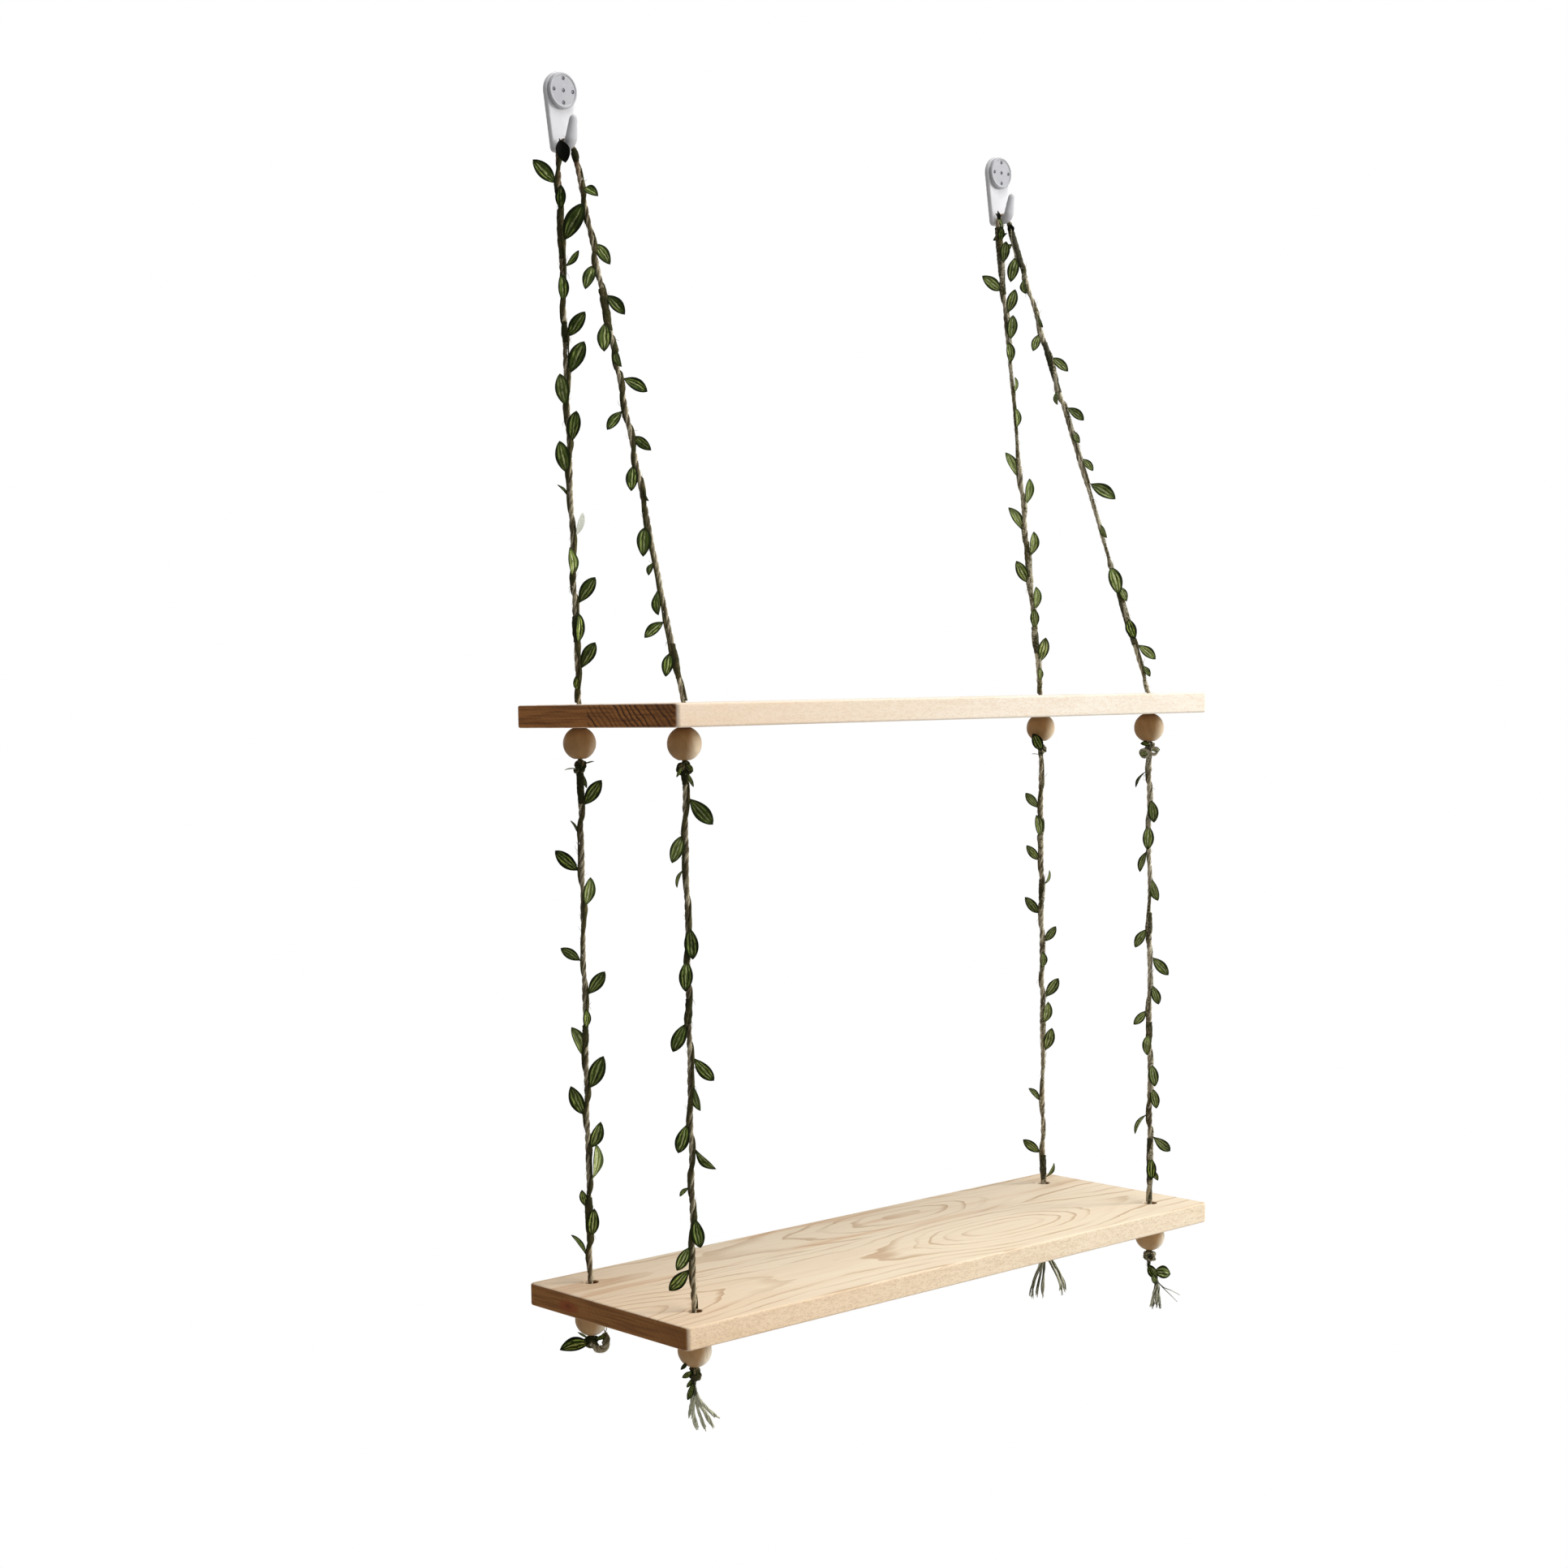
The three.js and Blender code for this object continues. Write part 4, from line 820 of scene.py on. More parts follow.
# The leaves of each strand, top to bottom: the share of the strand above the leaf's foot, the way it
# points in degrees round the strand from the camera's right, its size share, its roll and its lift in
# degrees, and its tone, as material leaf cloth explains it.
LEAVES = {
    "upper_rear_left": (
        (0.066, 150, 1.06, 0, 42, 0.2), (0.115, 70, 0.8, 0, 78, 0.0), (0.170, 20, 1.36, 0, 57, 0.15),
        (0.214, 5, 0.68, 60, 47, 0.0), (0.279, 95, 0.9, 30, 80, 0.15), (0.341, 0, 1.0, 0, 54, 0.15),
        (0.408, 5, 1.17, 0, 63, 0.2), (0.466, 120, 1.07, 0, 76, 0.6), (0.531, 30, 1.04, 0, 76, 0.2),
        (0.587, 150, 1.1, 0, 78, 0.3), (0.625, 180, 0.5, 70, 50, 0.2), (0.699, 10, 0.81, 62, 70, 2.4),
        (0.774, 110, 1.0, 48, 82, 0.6), (0.820, 0, 1.03, 0, 55, 0.2), (0.894, 62, 1.02, 52, 80, 0.1),
        (0.938, 5, 1.0, 0, 59, 0.2), (0.977, 100, 0.5, 0, 75, 0.0)),
    "upper_front_left": (
        (0.074, 45, 0.8, 0, 47, 0.15), (0.176, 0, 0.89, 0, 69, 0.4), (0.214, 170, 0.93, 0, 63, 0.35),
        (0.272, 0, 0.93, 0, 60, 0.15), (0.320, 165, 1.06, 0, 78, 0.3), (0.376, 60, 0.7, 40, 75, 0.7),
        (0.426, 0, 0.92, 0, 42, 0.1), (0.483, 180, 0.8, 0, 42, 0.2), (0.531, 5, 0.75, 20, 54, 0.2),
        (0.581, 165, 0.91, 0, 75, 0.15), (0.626, 45, 0.5, 60, 76, 0.5), (0.690, 165, 1.05, 0, 75, 0.3),
        (0.756, 150, 0.5, 20, 60, 0.1), (0.801, 160, 0.89, 45, 80, 0.3), (0.858, 180, 0.8, 0, 30, 0.3),
        (0.911, 170, 0.83, 0, 69, 0.15)),
    "upper_rear_right": (
        (0.045, 60, 0.6, 0, 75, 0.0), (0.09, 50, 0.85, 0, 71, 0.2), (0.145, 150, 1.0, 0, 36, 0.2),
        (0.193, 35, 0.93, 0, 64, 0.2), (0.25, 40, 0.95, 0, 76, 0.3), (0.3, 95, 0.85, 20, 80, 0.1),
        (0.36, 60, 0.6, 50, 78, 0.8), (0.435, 90, 0.8, 45, 80, 0.3), (0.537, 170, 1.07, 36, 68, 0.8),
        (0.597, 20, 1.02, 36, 76, 0.65), (0.651, 175, 1.07, 32, 64, 0.45), (0.706, 15, 0.96, 30, 77, 0.4),
        (0.762, 165, 0.98, 0, 67, 0.15), (0.82, 30, 0.9, 28, 82, 0.75), (0.86, 85, 0.8, 0, 78, 0.3),
        (0.932, 15, 0.98, 0, 72, 0.3), (0.972, 80, 0.55, 20, 78, 0.1)),
    "upper_front_right": (
        (0.042, 190, 0.54, 0, 27, 0.0), (0.068, 200, 1.0, 0, 62, 0.15), (0.120, 130, 0.7, 50, 75, 0.2),
        (0.2, 70, 0.6, 60, 80, 0.3), (0.238, 175, 0.75, 0, 56, 0.2), (0.292, 0, 0.83, 0, 58, 0.2),
        (0.362, 150, 0.6, 60, 75, 0.7), (0.4, 0, 0.82, 0, 54, 0.2), (0.45, 50, 0.6, 30, 77, 0.8),
        (0.510, 20, 0.66, 0, 66, 0.1), (0.562, 0, 1.14, 0, 48, 0.2), (0.65, 60, 0.6, 50, 78, 0.8),
        (0.736, 110, 1.15, 0, 86, 0.15), (0.78, 45, 0.65, 0, 80, 0.7), (0.845, 85, 0.9, 20, 80, 0.0),
        (0.9, 0, 0.87, 0, 56, 0.2), (0.945, 40, 0.5, 0, 74, 0.1)),
    "lower_rear_left": (
        (0.066, 5, 1.02, 0, 54, 0.15), (0.12, 175, 0.5, 70, 60, 0.2), (0.193, 180, 1.03, 0, 42, 0.1),
        (0.262, 30, 1.0, 30, 77, 0.8), (0.367, 180, 0.78, 15, 33, 0.35), (0.434, 0, 0.96, 0, 53, 0.3),
        (0.5, 80, 0.7, 40, 80, 0.1), (0.555, 165, 1.06, 42, 70, 0.95), (0.619, 10, 1.21, 0, 66, 0.25),
        (0.671, 170, 1.08, 0, 67, 0.25), (0.736, 15, 0.98, 15, 68, 0.3), (0.8, 10, 1.25, 62, 82, 1.5),
        (0.852, 160, 0.61, 0, 77, 0.2), (0.91, 45, 0.98, 0, 80, 0.25), (0.95, 185, 0.88, 80, 54, 0.1)),
    "lower_front_left": (
        (0.043, 0, 1.12, 0, 49, 0.35), (0.11, 165, 0.95, 0, 68, 0.65), (0.175, 170, 0.6, 65, 70, 0.3),
        (0.28, 40, 1.02, 0, 84, 0.2), (0.34, 110, 1.0, 0, 81, 0.2), (0.458, 170, 1.0, 0, 65, 0.25),
        (0.523, 0, 0.98, 10, 49, 0.2), (0.574, 25, 0.84, 35, 73, 0.85), (0.645, 165, 0.99, 0, 71, 0.2),
        (0.693, 0, 0.94, 45, 45, 0.4), (0.767, 180, 0.4, 40, 45, 0.1), (0.821, 40, 0.98, 0, 77, 0.2),
        (0.877, 165, 0.86, 0, 60, 0.45), (0.92, 180, 0.96, 0, 46, 0.2)),
    "lower_rear_right": (
        (0.13, 180, 0.78, 0, 51, 0.7), (0.196, 130, 0.9, 20, 75, 0.4), (0.25, 180, 0.76, 0, 52, 0.2),
        (0.306, 0, 0.6, 65, 70, 0.8), (0.373, 180, 0.85, 0, 51, 0.2), (0.438, 5, 0.75, 0, 54, 0.3),
        (0.5, 90, 0.7, 30, 80, 0.1), (0.568, 0, 0.93, 0, 55, 0.2), (0.627, 50, 0.9, 20, 76, 0.8),
        (0.692, 15, 0.96, 0, 73, 0.3), (0.808, 180, 0.67, 40, 49, 0.3), (0.93, 180, 0.85, 0, 39, 0.2),
        (0.988, 0, 0.66, 52, 60, 0.1)),
    "lower_front_right": (
        (0.04, 180, 0.71, 84, 57, -0.4), (0.1, 60, 0.9, 0, 78, 0.15), (0.155, 120, 0.96, 0, 86, 0.2),
        (0.215, 165, 0.82, 55, 71, 0.2), (0.275, 30, 0.87, 35, 74, 0.85), (0.387, 170, 0.82, 30, 57, 0.3),
        (0.45, 0, 0.91, 0, 49, 0.2), (0.51, 35, 0.79, 0, 70, 0.2), (0.568, 180, 0.72, 0, 48, 0.15),
        (0.62, 120, 0.8, 30, 80, 0.8), (0.686, 60, 0.87, 0, 76, 0.25), (0.74, 35, 0.8, 0, 77, 0.2),
        (0.8, 175, 0.87, 80, 59, 0.2), (0.85, 0, 0.87, 0, 41, 0.25), (0.895, 85, 0.85, 0, 78, 0.0),
        (0.925, 30, 0.45, 0, 60, 0.1)),
}
# Single leaves outside the strands' rows, as seen from the camera: foot, way, face, size share, width
# share, tone and curl. At the hooks the foot is measured from the strand's head, at the knots from the
# knot's centre.
TOP_LEAVES = {
    "upper_rear_left": (((1.2, 2.6, 4.0), (0.26, 0.1, -1), (0.1, 1, 0.1), 0.8, 1.3, -1.0, 0.3),),
    "upper_rear_right": (((-1.0, 1.8, 4.8), (0.5, 0.1, -1), (0.1, 1, 0.2), 0.62, 0.42, 0.95, 0.0),
        ((0.3, 2.2, 6.2), (0.15, 0.2, -1), (0, 1, 0.2), 0.36, 0.9, -0.9, 0.2)),
    "upper_front_right": (((-1.5, 1.6, -6.0), (-1, 0.15, -0.45), (0.1, 1, 0.2), 0.6, 0.9, 0.0, 0.3),
        ((0.2, 2.4, -0.5), (0.1, 0.1, -1), (0.1, 1, 0.1), 0.4, 1.5, -0.9, 0.6)),
}
KNOT_LEAVES = {
    "upper_rear_left": (((1.5, 2.4, 0.8), (1, 0.14, 0.3), (-0.3, 0.6, 0.8), 0.4, 0.42, 0.0, 0.0),
        ((-1.0, 2.6, -1.2), (-1, 0.1, -0.06), (0, 0.5, 0.9), 0.42, 0.36, 2.4, 0.0),
        ((1.2, -1.0, -3.5), (0.25, 0, -1), (0, 1, 0), 0.5, 0.6, 0.8, 0.0)),
    "upper_front_left": (((-1.0, 2.6, 1.5), (-0.5, 0.2, -1), (0.2, 1, 0), 0.42, 0.6, 0.1, 0.4),
        ((1.4, 2.4, -2.0), (0.4, 0.1, -1), (0, 1, 0), 0.5, 0.55, 0.3, 0.3),
        ((0.5, 3.2, 2.6), (0.8, 0.2, -0.8), (0, 1, 0.3), 0.36, 0.8, 0.0, 0.6)),
    "upper_rear_right": (((0.2, 4.6, -2.2), (-0.62, 0.55, 1.1), (0.15, 1, -0.35), 0.86, 1.1, 0.0, -0.2),
        ((-1.5, 2.0, -4.4), (-1, 0, 0.1), (0, 0.6, 0.8), 0.26, 0.3, 1.0, 0.0)),
    "upper_front_right": (((-0.6, 3.0, -2.2), (-1, 0.2, -0.3), (0.1, 0.9, 0.4), 0.34, 1.6, 0.9, 0.3),
        ((1.2, 3.0, -1.6), (0.9, 0.2, 0.15), (-0.1, 0.95, 0.3), 0.3, 1.6, 0.9, 0.3),
        ((-0.4, 3.4, 1.6), (-0.9, 0.2, 0.35), (0, 0.9, 0.4), 0.34, 1.4, -0.2, 0.8)),
    "lower_rear_left": (((-0.5, 2.6, 0.4), (-1, 0.3, -0.16), (0, 0.85, 0.6), 1.05, 1.05, 0.05, 0.1),
        ((-1.5, 2.2, 2.4), (-0.8, 0.1, 0.5), (0, 1, 0.3), 0.42, 0.45, 0.0, 0.0),
        ((2.0, 3.0, 1.6), (0.8, 0.2, 0.4), (0, 1, 0.3), 0.42, 0.8, 0.1, 0.5)),
    "lower_front_left": (((-1.2, 2.4, 2.0), (-0.55, 0.3, -0.3), (0.3, 0.9, 0.3), 0.4, 1.0, 0.0, 0.8),
        ((-0.6, 2.2, -3.0), (-0.32, 0.1, -1), (0.2, 1, 0), 0.66, 0.7, 0.05, 0.2),
        ((-1.6, 2.4, -1.6), (-0.5, 0.1, -1), (0.2, 1, 0), 0.36, 0.8, -0.3, 0.4),
        ((-3.6, 4.2, 7.6), (-0.7, 0.4, -0.8), (0.2, 1, 0.1), 0.34, 0.9, -0.7, 0.3)),
    "lower_front_right": (((-1.4, 2.0, -4.5), (0.45, 0.1, -1), (0, 1, 0.2), 0.62, 1.25, 0.0, 0.1),
        ((1.4, 2.0, -9.0), (0.15, 0.1, -1), (0.3, 1, 0.2), 0.5, 1.2, 0.1, 0.3),
        ((1.4, 2.2, -9.5), (0.95, 0.3, 0.0), (0, 0.95, 0.4), 0.7, 1.6, 0.15, 0.9),
        ((0.0, 2.4, -6.0), (0.6, 0.3, -0.9), (0, 1, 0.2), 0.5, 0.8, 0.2, 0.5)),
    "lower_rear_right": (((0.0, 1.6, -6.0), (0.4, 0.1, -1), (0, 1, 0), 0.45, 0.6, 0.1, 0.3),),
}
# Curled loops of the garland's cloth at a knot: middle, reach and thickness.
CURLS = {
    "upper_front_right": (((-3.2, 3.1, -3.0), 2.2, 0.95), ((2.4, 3.2, -1.9), 1.9, 0.9)),
    "lower_front_right": (((-0.2, 3.0, 0.2), 2.2, 0.8),),
}
# Stretches where the garland's cloth lies tight round the rope: from and to as shares of the strand, radius
# and shade.
SLEEVES = {
    "upper_rear_left": ((0.1, 0.19, 2.0, 0.7), (0.3, 0.34, 1.8, 0.7), (0.83, 0.88, 2.0, 0.7)),
    "upper_front_left": ((0.0, 0.026, 1.95, 0.9), (0.26, 0.34, 2.1, 0.45), (0.9, 0.96, 1.9, 0.6)),
    "upper_rear_right": ((0.0, 0.14, 2.1, 0.8), (0.66, 0.79, 2.0, 0.5), (0.84, 0.9, 2.1, 0.85)),
    "upper_front_right": ((0.0, 0.12, 1.8, 0.95), (0.26, 0.37, 1.9, 0.95), (0.79, 0.9, 2.0, 0.85)),
    "lower_rear_left": ((0.0, 0.07, 2.0, 0.9), (0.5, 0.55, 1.8, 0.7), (0.84, 0.93, 2.2, 0.5)),
    "lower_front_left": ((0.0, 0.03, 1.9, 0.9), (0.42, 0.47, 1.8, 0.7)),
    "lower_rear_right": ((0.0, 0.02, 1.8, 0.8), (0.3, 0.37, 1.8, 0.85), (0.94, 1.0, 2.1, 0.95)),
    "lower_front_right": ((0.0, 0.03, 1.8, 0.8), (0.36, 0.42, 1.8, 0.8), (0.6, 0.65, 1.8, 0.9), (0.86, 1.0, 1.9, 0.95)),
}
# Stretches where a strand shows bare and thin: from and to as shares of the strand, and how thin.
BARE = {
    "upper_rear_right": ((0.27, 0.5, 0.76),),
    "upper_front_right": ((0.13, 0.2, 0.8), (0.56, 0.74, 0.74), (0.9, 1.1, 0.85)),
    "upper_front_left": ((0.72, 0.84, 0.85),),
    "lower_rear_left": ((0.3, 0.42, 0.85),),
    "lower_rear_right": ((0.66, 0.78, 0.82), (0.82, 0.9, 0.85)),
    "lower_front_right": ((0.2, 0.36, 0.74), (0.44, 0.5, 0.85)),
}


def blade(form, foot, axis, face, size, tone, seed, curl=0.0, narrow=1.0):
    """One cloth leaf: a short stalk, a pointed blade folded a little along its middle, arched and waved."""
    draw = random.Random(f"leaf {seed}")
    length, half = LEAF_LENGTH * size, LEAF_WIDTH * size * narrow / 2
    arch, fold = draw.uniform(0.4, 1.3) * size, draw.uniform(0.25, 0.55)
    twist = math.radians(draw.uniform(-14, 14))
    ripple, start = draw.uniform(0.1, 0.28) * size, draw.uniform(0, 6)
    power = math.log(0.5) / math.log(draw.uniform(0.48, 0.56))
    axis = unit(axis)
    face = unit(face - axis * (face @ axis))
    across = np.cross(axis, face)
    rows, columns = 15, 9
    top, bottom, marks = [], [], []
    for i in range(rows):
        v = i / (rows - 1)
        blade_v = max(0.0, (v - STALK) / (1 - STALK))
        wide = half * math.sin(math.pi * blade_v ** power) ** 0.7 if 0 < blade_v < 1 else 0.0
        wide = max(wide, 0.32 if v < STALK * 1.5 else 0.1)
        turn = twist * (v - 0.4)
        c = across * math.cos(turn) + face * math.sin(turn)
        f = face * math.cos(turn) - across * math.sin(turn)
        bend = curl * max(0.0, v - 0.15) ** 2
        middle = (foot + axis * length * (v - 0.18 * bend * v)
                  + face * (arch * math.sin(math.pi * v) - length * 0.55 * bend))
        for k in range(columns):
            u = 2 * k / (columns - 1) - 1
            lift = fold * wide * abs(u) ** 1.4 + ripple * math.sin(start + 7 * v + 2 * u) * abs(u) * (wide / half)
            point = middle + c * wide * u + f * lift
            thin = CLOTH * (1 - 0.6 * abs(u))
            top.append(point + f * thin)
            bottom.append(point - f * thin)
            marks.append((u, v))
    count = rows * columns
    faces = grid(rows, columns, closed=False)
    faces += [tuple(index + count for index in reversed(cell)) for cell in faces]
    rim = list(range(columns)) + [(i + 1) * columns - 1 for i in range(1, rows)]
    rim += [count - 1 - k for k in range(1, columns)] + [i * columns for i in range(rows - 2, 0, -1)]
    faces += [(b, a, a + count, b + count) for a, b in zip(rim, rim[1:] + rim[:1])]
    u, v = np.array(marks * 2).T
    form.add(top + bottom, faces, leaf_u=u, leaf_v=v, tone=tone, seed=draw.random())


def single_leaves(form, rows, origin, seed):
    for index, (spot, axis, face, size, narrow, tone, curl) in enumerate(rows):
        blade(form, origin + seen(spot), seen(axis), seen(face), size, tone, f"{seed}{index}", curl, narrow)
    return form


def winding(name, length):
    """Heights and turns of the stem: it passes every leaf's foot and winds on at a steady pitch."""
    rows = LEAVES[name]
    height, turn = length * (1 - rows[0][0]), float(rows[0][1])
    spots = [(length - 0.5, turn - (length - 0.5 - height) * 360 / STEM_PITCH), (height, turn)]
    for row in rows[1:]:
        low = length * (1 - row[0])
        wish = (height - low) * 360 / STEM_PITCH
        step = (row[1] - turn) % 360
        step += 360 * round((wish - step) / 360)
        height, turn = low, turn + step
        spots.append((height, turn))
    spots.append((1.0, turn + (height - 1.0) * 360 / STEM_PITCH))
    heights, turns = [], []
    for (h0, t0), (h1, t1) in zip(spots, spots[1:]):
        steps = max(4, int(abs(h1 - h0) / 0.9))
        for i in range(steps):
            share = i / steps
            ease = share * share * (3 - 2 * share)
            heights.append(h0 + (h1 - h0) * share)
            turns.append(t0 + (t1 - t0) * (0.6 * share + 0.4 * ease))
    heights.append(spots[-1][0])
    turns.append(spots[-1][1])
    return np.array(heights), np.radians(turns)


def garland(name, foot, head, growth, body, rope_path):
    """A strand's garland: the stem wound round the rope, with sleeves and loose threads, and its leaves."""
    length = float(np.linalg.norm(head - foot))
    up = unit(head - foot)
    right = unit(RIGHT - up * (RIGHT @ up))
    out = np.cross(right, up)
    heights, turns = winding(name, length)
    around = polar(turns, right, out)
    slim = bare(name, 1 - heights / length)
    path = foot + heights[:, None] * up + around * (WINDING_RADIUS * slim)[:, None]
    tangent = unit(np.gradient(path, axis=0))
    across = unit(np.cross(tangent, around))
    thick = STEM_RADIUS * (1.05 + 0.3 * Waves(f"stem {name}", 30)(lengths(path)))
    for share, _, size, *_ in LEAVES[name]:
        near = (heights - length * (1 - share)) / 3.4
        thick = thick * (1 + 0.5 * size * np.exp(-near * near))
    stem = tube(Form(), path, thick * slim, 10, (tangent, around, across * STEM_FLAT), shade=0.55 + 2.2 * (slim - 1))
    past = lengths(rope_path)
    for low, high, size, shade in SLEEVES[name]:
        middle = resample(rope_path[(past >= low * length) & (past <= high * length)], 0.8)
        spread = shares(middle)
        girth = size * np.clip(5 * spread, 0.75, 1) ** 0.5 * np.clip(3 * (1 - spread), 0.55, 1) ** 0.5
        girth = girth * (1 + 0.1 * Waves(f"sleeve {name}{low}", 9)(lengths(middle)))
        tube(stem, middle, girth, 12, shade=shade)
    draw = random.Random(f"threads {name}")
    for _ in range(int(length / 9)):
        spot = draw.randrange(4, len(path) - 6)
        way = tangent[spot] * draw.choice((-1, 1)) + across[spot] * draw.uniform(-0.9, 0.9)
        start = path[spot] + around[spot] * STEM_RADIUS * 0.8
        reach = draw.uniform(1.5, 3.5)
        line = [start + way * reach * t + around[spot] * reach * 0.4 * math.sin(2 * t) for t in (0, 0.4, 0.75, 1)]
        tube(stem, np.array(line), (0.1, 0.09, 0.07, 0.03), 3)
    stem.make(f"garland_{name}_stem", STEM, body, "garland", [f"garland_{name}"])

    leaves = Form()
    for index, (share, way, size, roll, lift, tone) in enumerate(LEAVES[name]):
        outward, lift = polar(math.radians(way), right, out), math.radians(lift)
        base = foot + up * length * (1 - share) + outward * (WINDING_RADIUS - 0.1)
        axis = outward * math.cos(lift) + up * growth * math.sin(lift)
        face = unit(out - axis * (out @ axis))
        face = np.array(Matrix.Rotation(math.radians(roll), 3, Vector(axis)) @ Vector(face))
        blade(leaves, base, axis, face, size, tone, f"{name}{index}")
    single_leaves(leaves, TOP_LEAVES.get(name, ()), head, f"top {name}")
    leaves.make(f"garland_{name}_leaves", LEAF, body, "garland", [f"garland_{name}"])


# ---------------------------------------------------------------- ropes and knots


def hung_rope(side, sign):
    """One rope over its hook: front strand up, loop, rear strand down, all on one smooth path."""
    x0 = sign * HOOK_X
    heads = {"rear": np.array([x0 - LOOP_RADIUS, -ROPE_OUT, LOOP_Z]),
             "front": np.array([x0 + LOOP_RADIUS, -ROPE_OUT, LOOP_Z])}
    feet = {depth: np.array([sign * HOLE_X, y, UPPER_TOP]) for depth, y, _ in DEPTHS}
    tucked = {depth: foot + unit(foot - heads[depth]) * TUCK for depth, foot in feet.items()}
    arc = [(x0 + LOOP_RADIUS * math.cos(t), -ROPE_OUT, LOOP_Z + LOOP_RADIUS * math.sin(t))
           for t in np.linspace(0, math.pi, 40)]
    path = resample([tucked["front"], *arc, tucked["rear"]], ROPE_STEP)
    run = lengths(path)
    bends = (np.linalg.norm(tucked["front"] - heads["front"]),
             run[-1] - np.linalg.norm(tucked["rear"] - heads["rear"]))
    near = np.minimum(*(np.abs(run - bend) for bend in bends)) < BEND_REACH
    for _ in range(BEND_ROUNDS):
        eased = path.copy()
        eased[1:-1] = (path[:-2] + path[1:-1] * 2 + path[2:]) / 4
        path = np.where(near[:, None], eased, path)
    run = lengths(path)
    basis = frames(path)
    first, second = (int(np.argmin(np.abs(run - bend))) for bend in bends)
    for depth, low, high in (("front", 0, first + 1), ("loop", first, second + 1), ("rear", second, len(path))):
        name, body, stretch = f"upper_{depth}_{side}", f"{side}_hanger", path[low:high]
        share = shares(stretch)
        slim = bare(name, 1 - share if depth == "front" else share)
        form = rope(Form(), stretch, ROPE_SEEN * slim, f"{side}{depth}", turned=run[low], fuzz=0.3,
                    basis=[item[low:high] for item in basis], shade=2 * (slim - 1))
        if depth == "loop":
            form.make(f"rope_over_hook_{side}", JUTE, f"{side}_loop", "jute", [f"rope_loop_{side}"])
            continue
        form.make(f"rope_{name}", JUTE, body, "jute", [f"strand_{name}"])
        downward, growth = (stretch, 1) if depth == "rear" else (stretch[::-1], -1)
        garland(name, feet[depth], heads[depth], growth, body, downward)


def lower_rope(side, sign, depth, y, growth):
    name = f"lower_{depth}_{side}"
    body = f"lower_strand_{depth}_{side}"
    x = sign * HOLE_X
    head, foot = np.array([x, y, UPPER_TOP - STRAND_DROP]), np.array([x, y, LOWER_TOP])
    # The rear left rope runs to a bend on the board, which is a body of its own.
    lead = side == "left" and depth == "rear"
    path = plumb(x, y, head[2] + KNOT_TUCK, foot[2] + (0.3 if lead else -TUCK))
    slim = bare(name, shares(path))
    form = rope(Form(), path, ROPE_SEEN * slim, name, fuzz=0.3, shade=2 * (slim - 1))
    form.make(f"rope_{name}", JUTE, body, "jute", [f"strand_{name}"])
    if lead:
        bend = rope(Form(), plumb(x, y, foot[2] + 0.6, foot[2] - 2.4, 0.6), ROPE_SEEN, "turn", fuzz=0.0)
        bend.make("rope_bend_lower_rear_left", JUTE, "lower_rope_turn", "jute", [f"rope_turn_{name}"])
    garland(name, foot, head + np.array([0, 0, 3.0]), growth, body, path)


def knot(form, centre, seed):
    """An overhand knot pulled tight: the rope's turns cross three times round a slanted axis."""
    draw = random.Random(f"knot {seed}")
    t = np.linspace(0, 2 * math.pi, 90)
    out = 2 + np.cos(3 * t)
    flat = np.stack([out * np.cos(2 * t), out * np.sin(2 * t), 1.25 * np.sin(3 * t)], axis=1) * (KNOT_SPREAD / 3)
    turn = (Matrix.Rotation(draw.uniform(0, 6), 3, "Z") @ Matrix.Rotation(math.radians(draw.uniform(50, 70)), 3, "X")
            @ Matrix.Rotation(draw.uniform(0, 6), 3, "Z"))
    return rope(form, flat @ np.array(turn).T + centre, KNOT_ROPE, f"knot {seed}", sides=7, fuzz=0.2, lay=KNOT_LAY)


def under_board(tier, top, side, sign, depth, y):
    """What hangs under one hole: the bead, the rope in hole and bead, and the knot with its cloth."""
    name, body, x = f"{tier}_{depth}_{side}", f"{tier}_tier", sign * HOLE_X
    upper = tier == "upper"
    bead(name, x, y, top, body)
    centre = np.array([x, y, top - KNOT_DROP])
    core = plumb(x, y, top - 2.0, centre[2] + (KNOT_REACH - 0.4 if upper else 0), 0.8)
    form = rope(Form(), core, ROPE_SEEN, f"core {name}", fuzz=0)
    if upper:
        form.make(f"rope_in_hole_{name}", JUTE, body, "jute", [f"rope_core_{name}"])
        form, body = Form(), f"upper_knot_{depth}_{side}"
    knot(form, centre, name).make(f"tied_{name}", KNOT, body, "jute", [f"knot_{name}"])
    curls = Form()
    for (right, near, up), reach, thick in CURLS.get(name, ()):
        turn = np.linspace(0, 2 * math.pi, 26)
        ring = [centre + seen((right + reach * math.cos(t), near + 0.6 * math.cos(t), up + reach * math.sin(t)))
                for t in turn]
        tube(curls, np.array(ring), thick * (1 + 0.2 * np.sin(3 * turn)), 8, shade=0.25 + 0.25 * np.sin(2 * turn))
    if curls.count:
        curls.make(f"curls_at_knot_{name}", STEM, body, "garland")
    leaves = single_leaves(Form(), KNOT_LEAVES[name], centre, f"knot {name}")
    leaves.make(f"leaves_at_knot_{name}", LEAF, body, "garland")


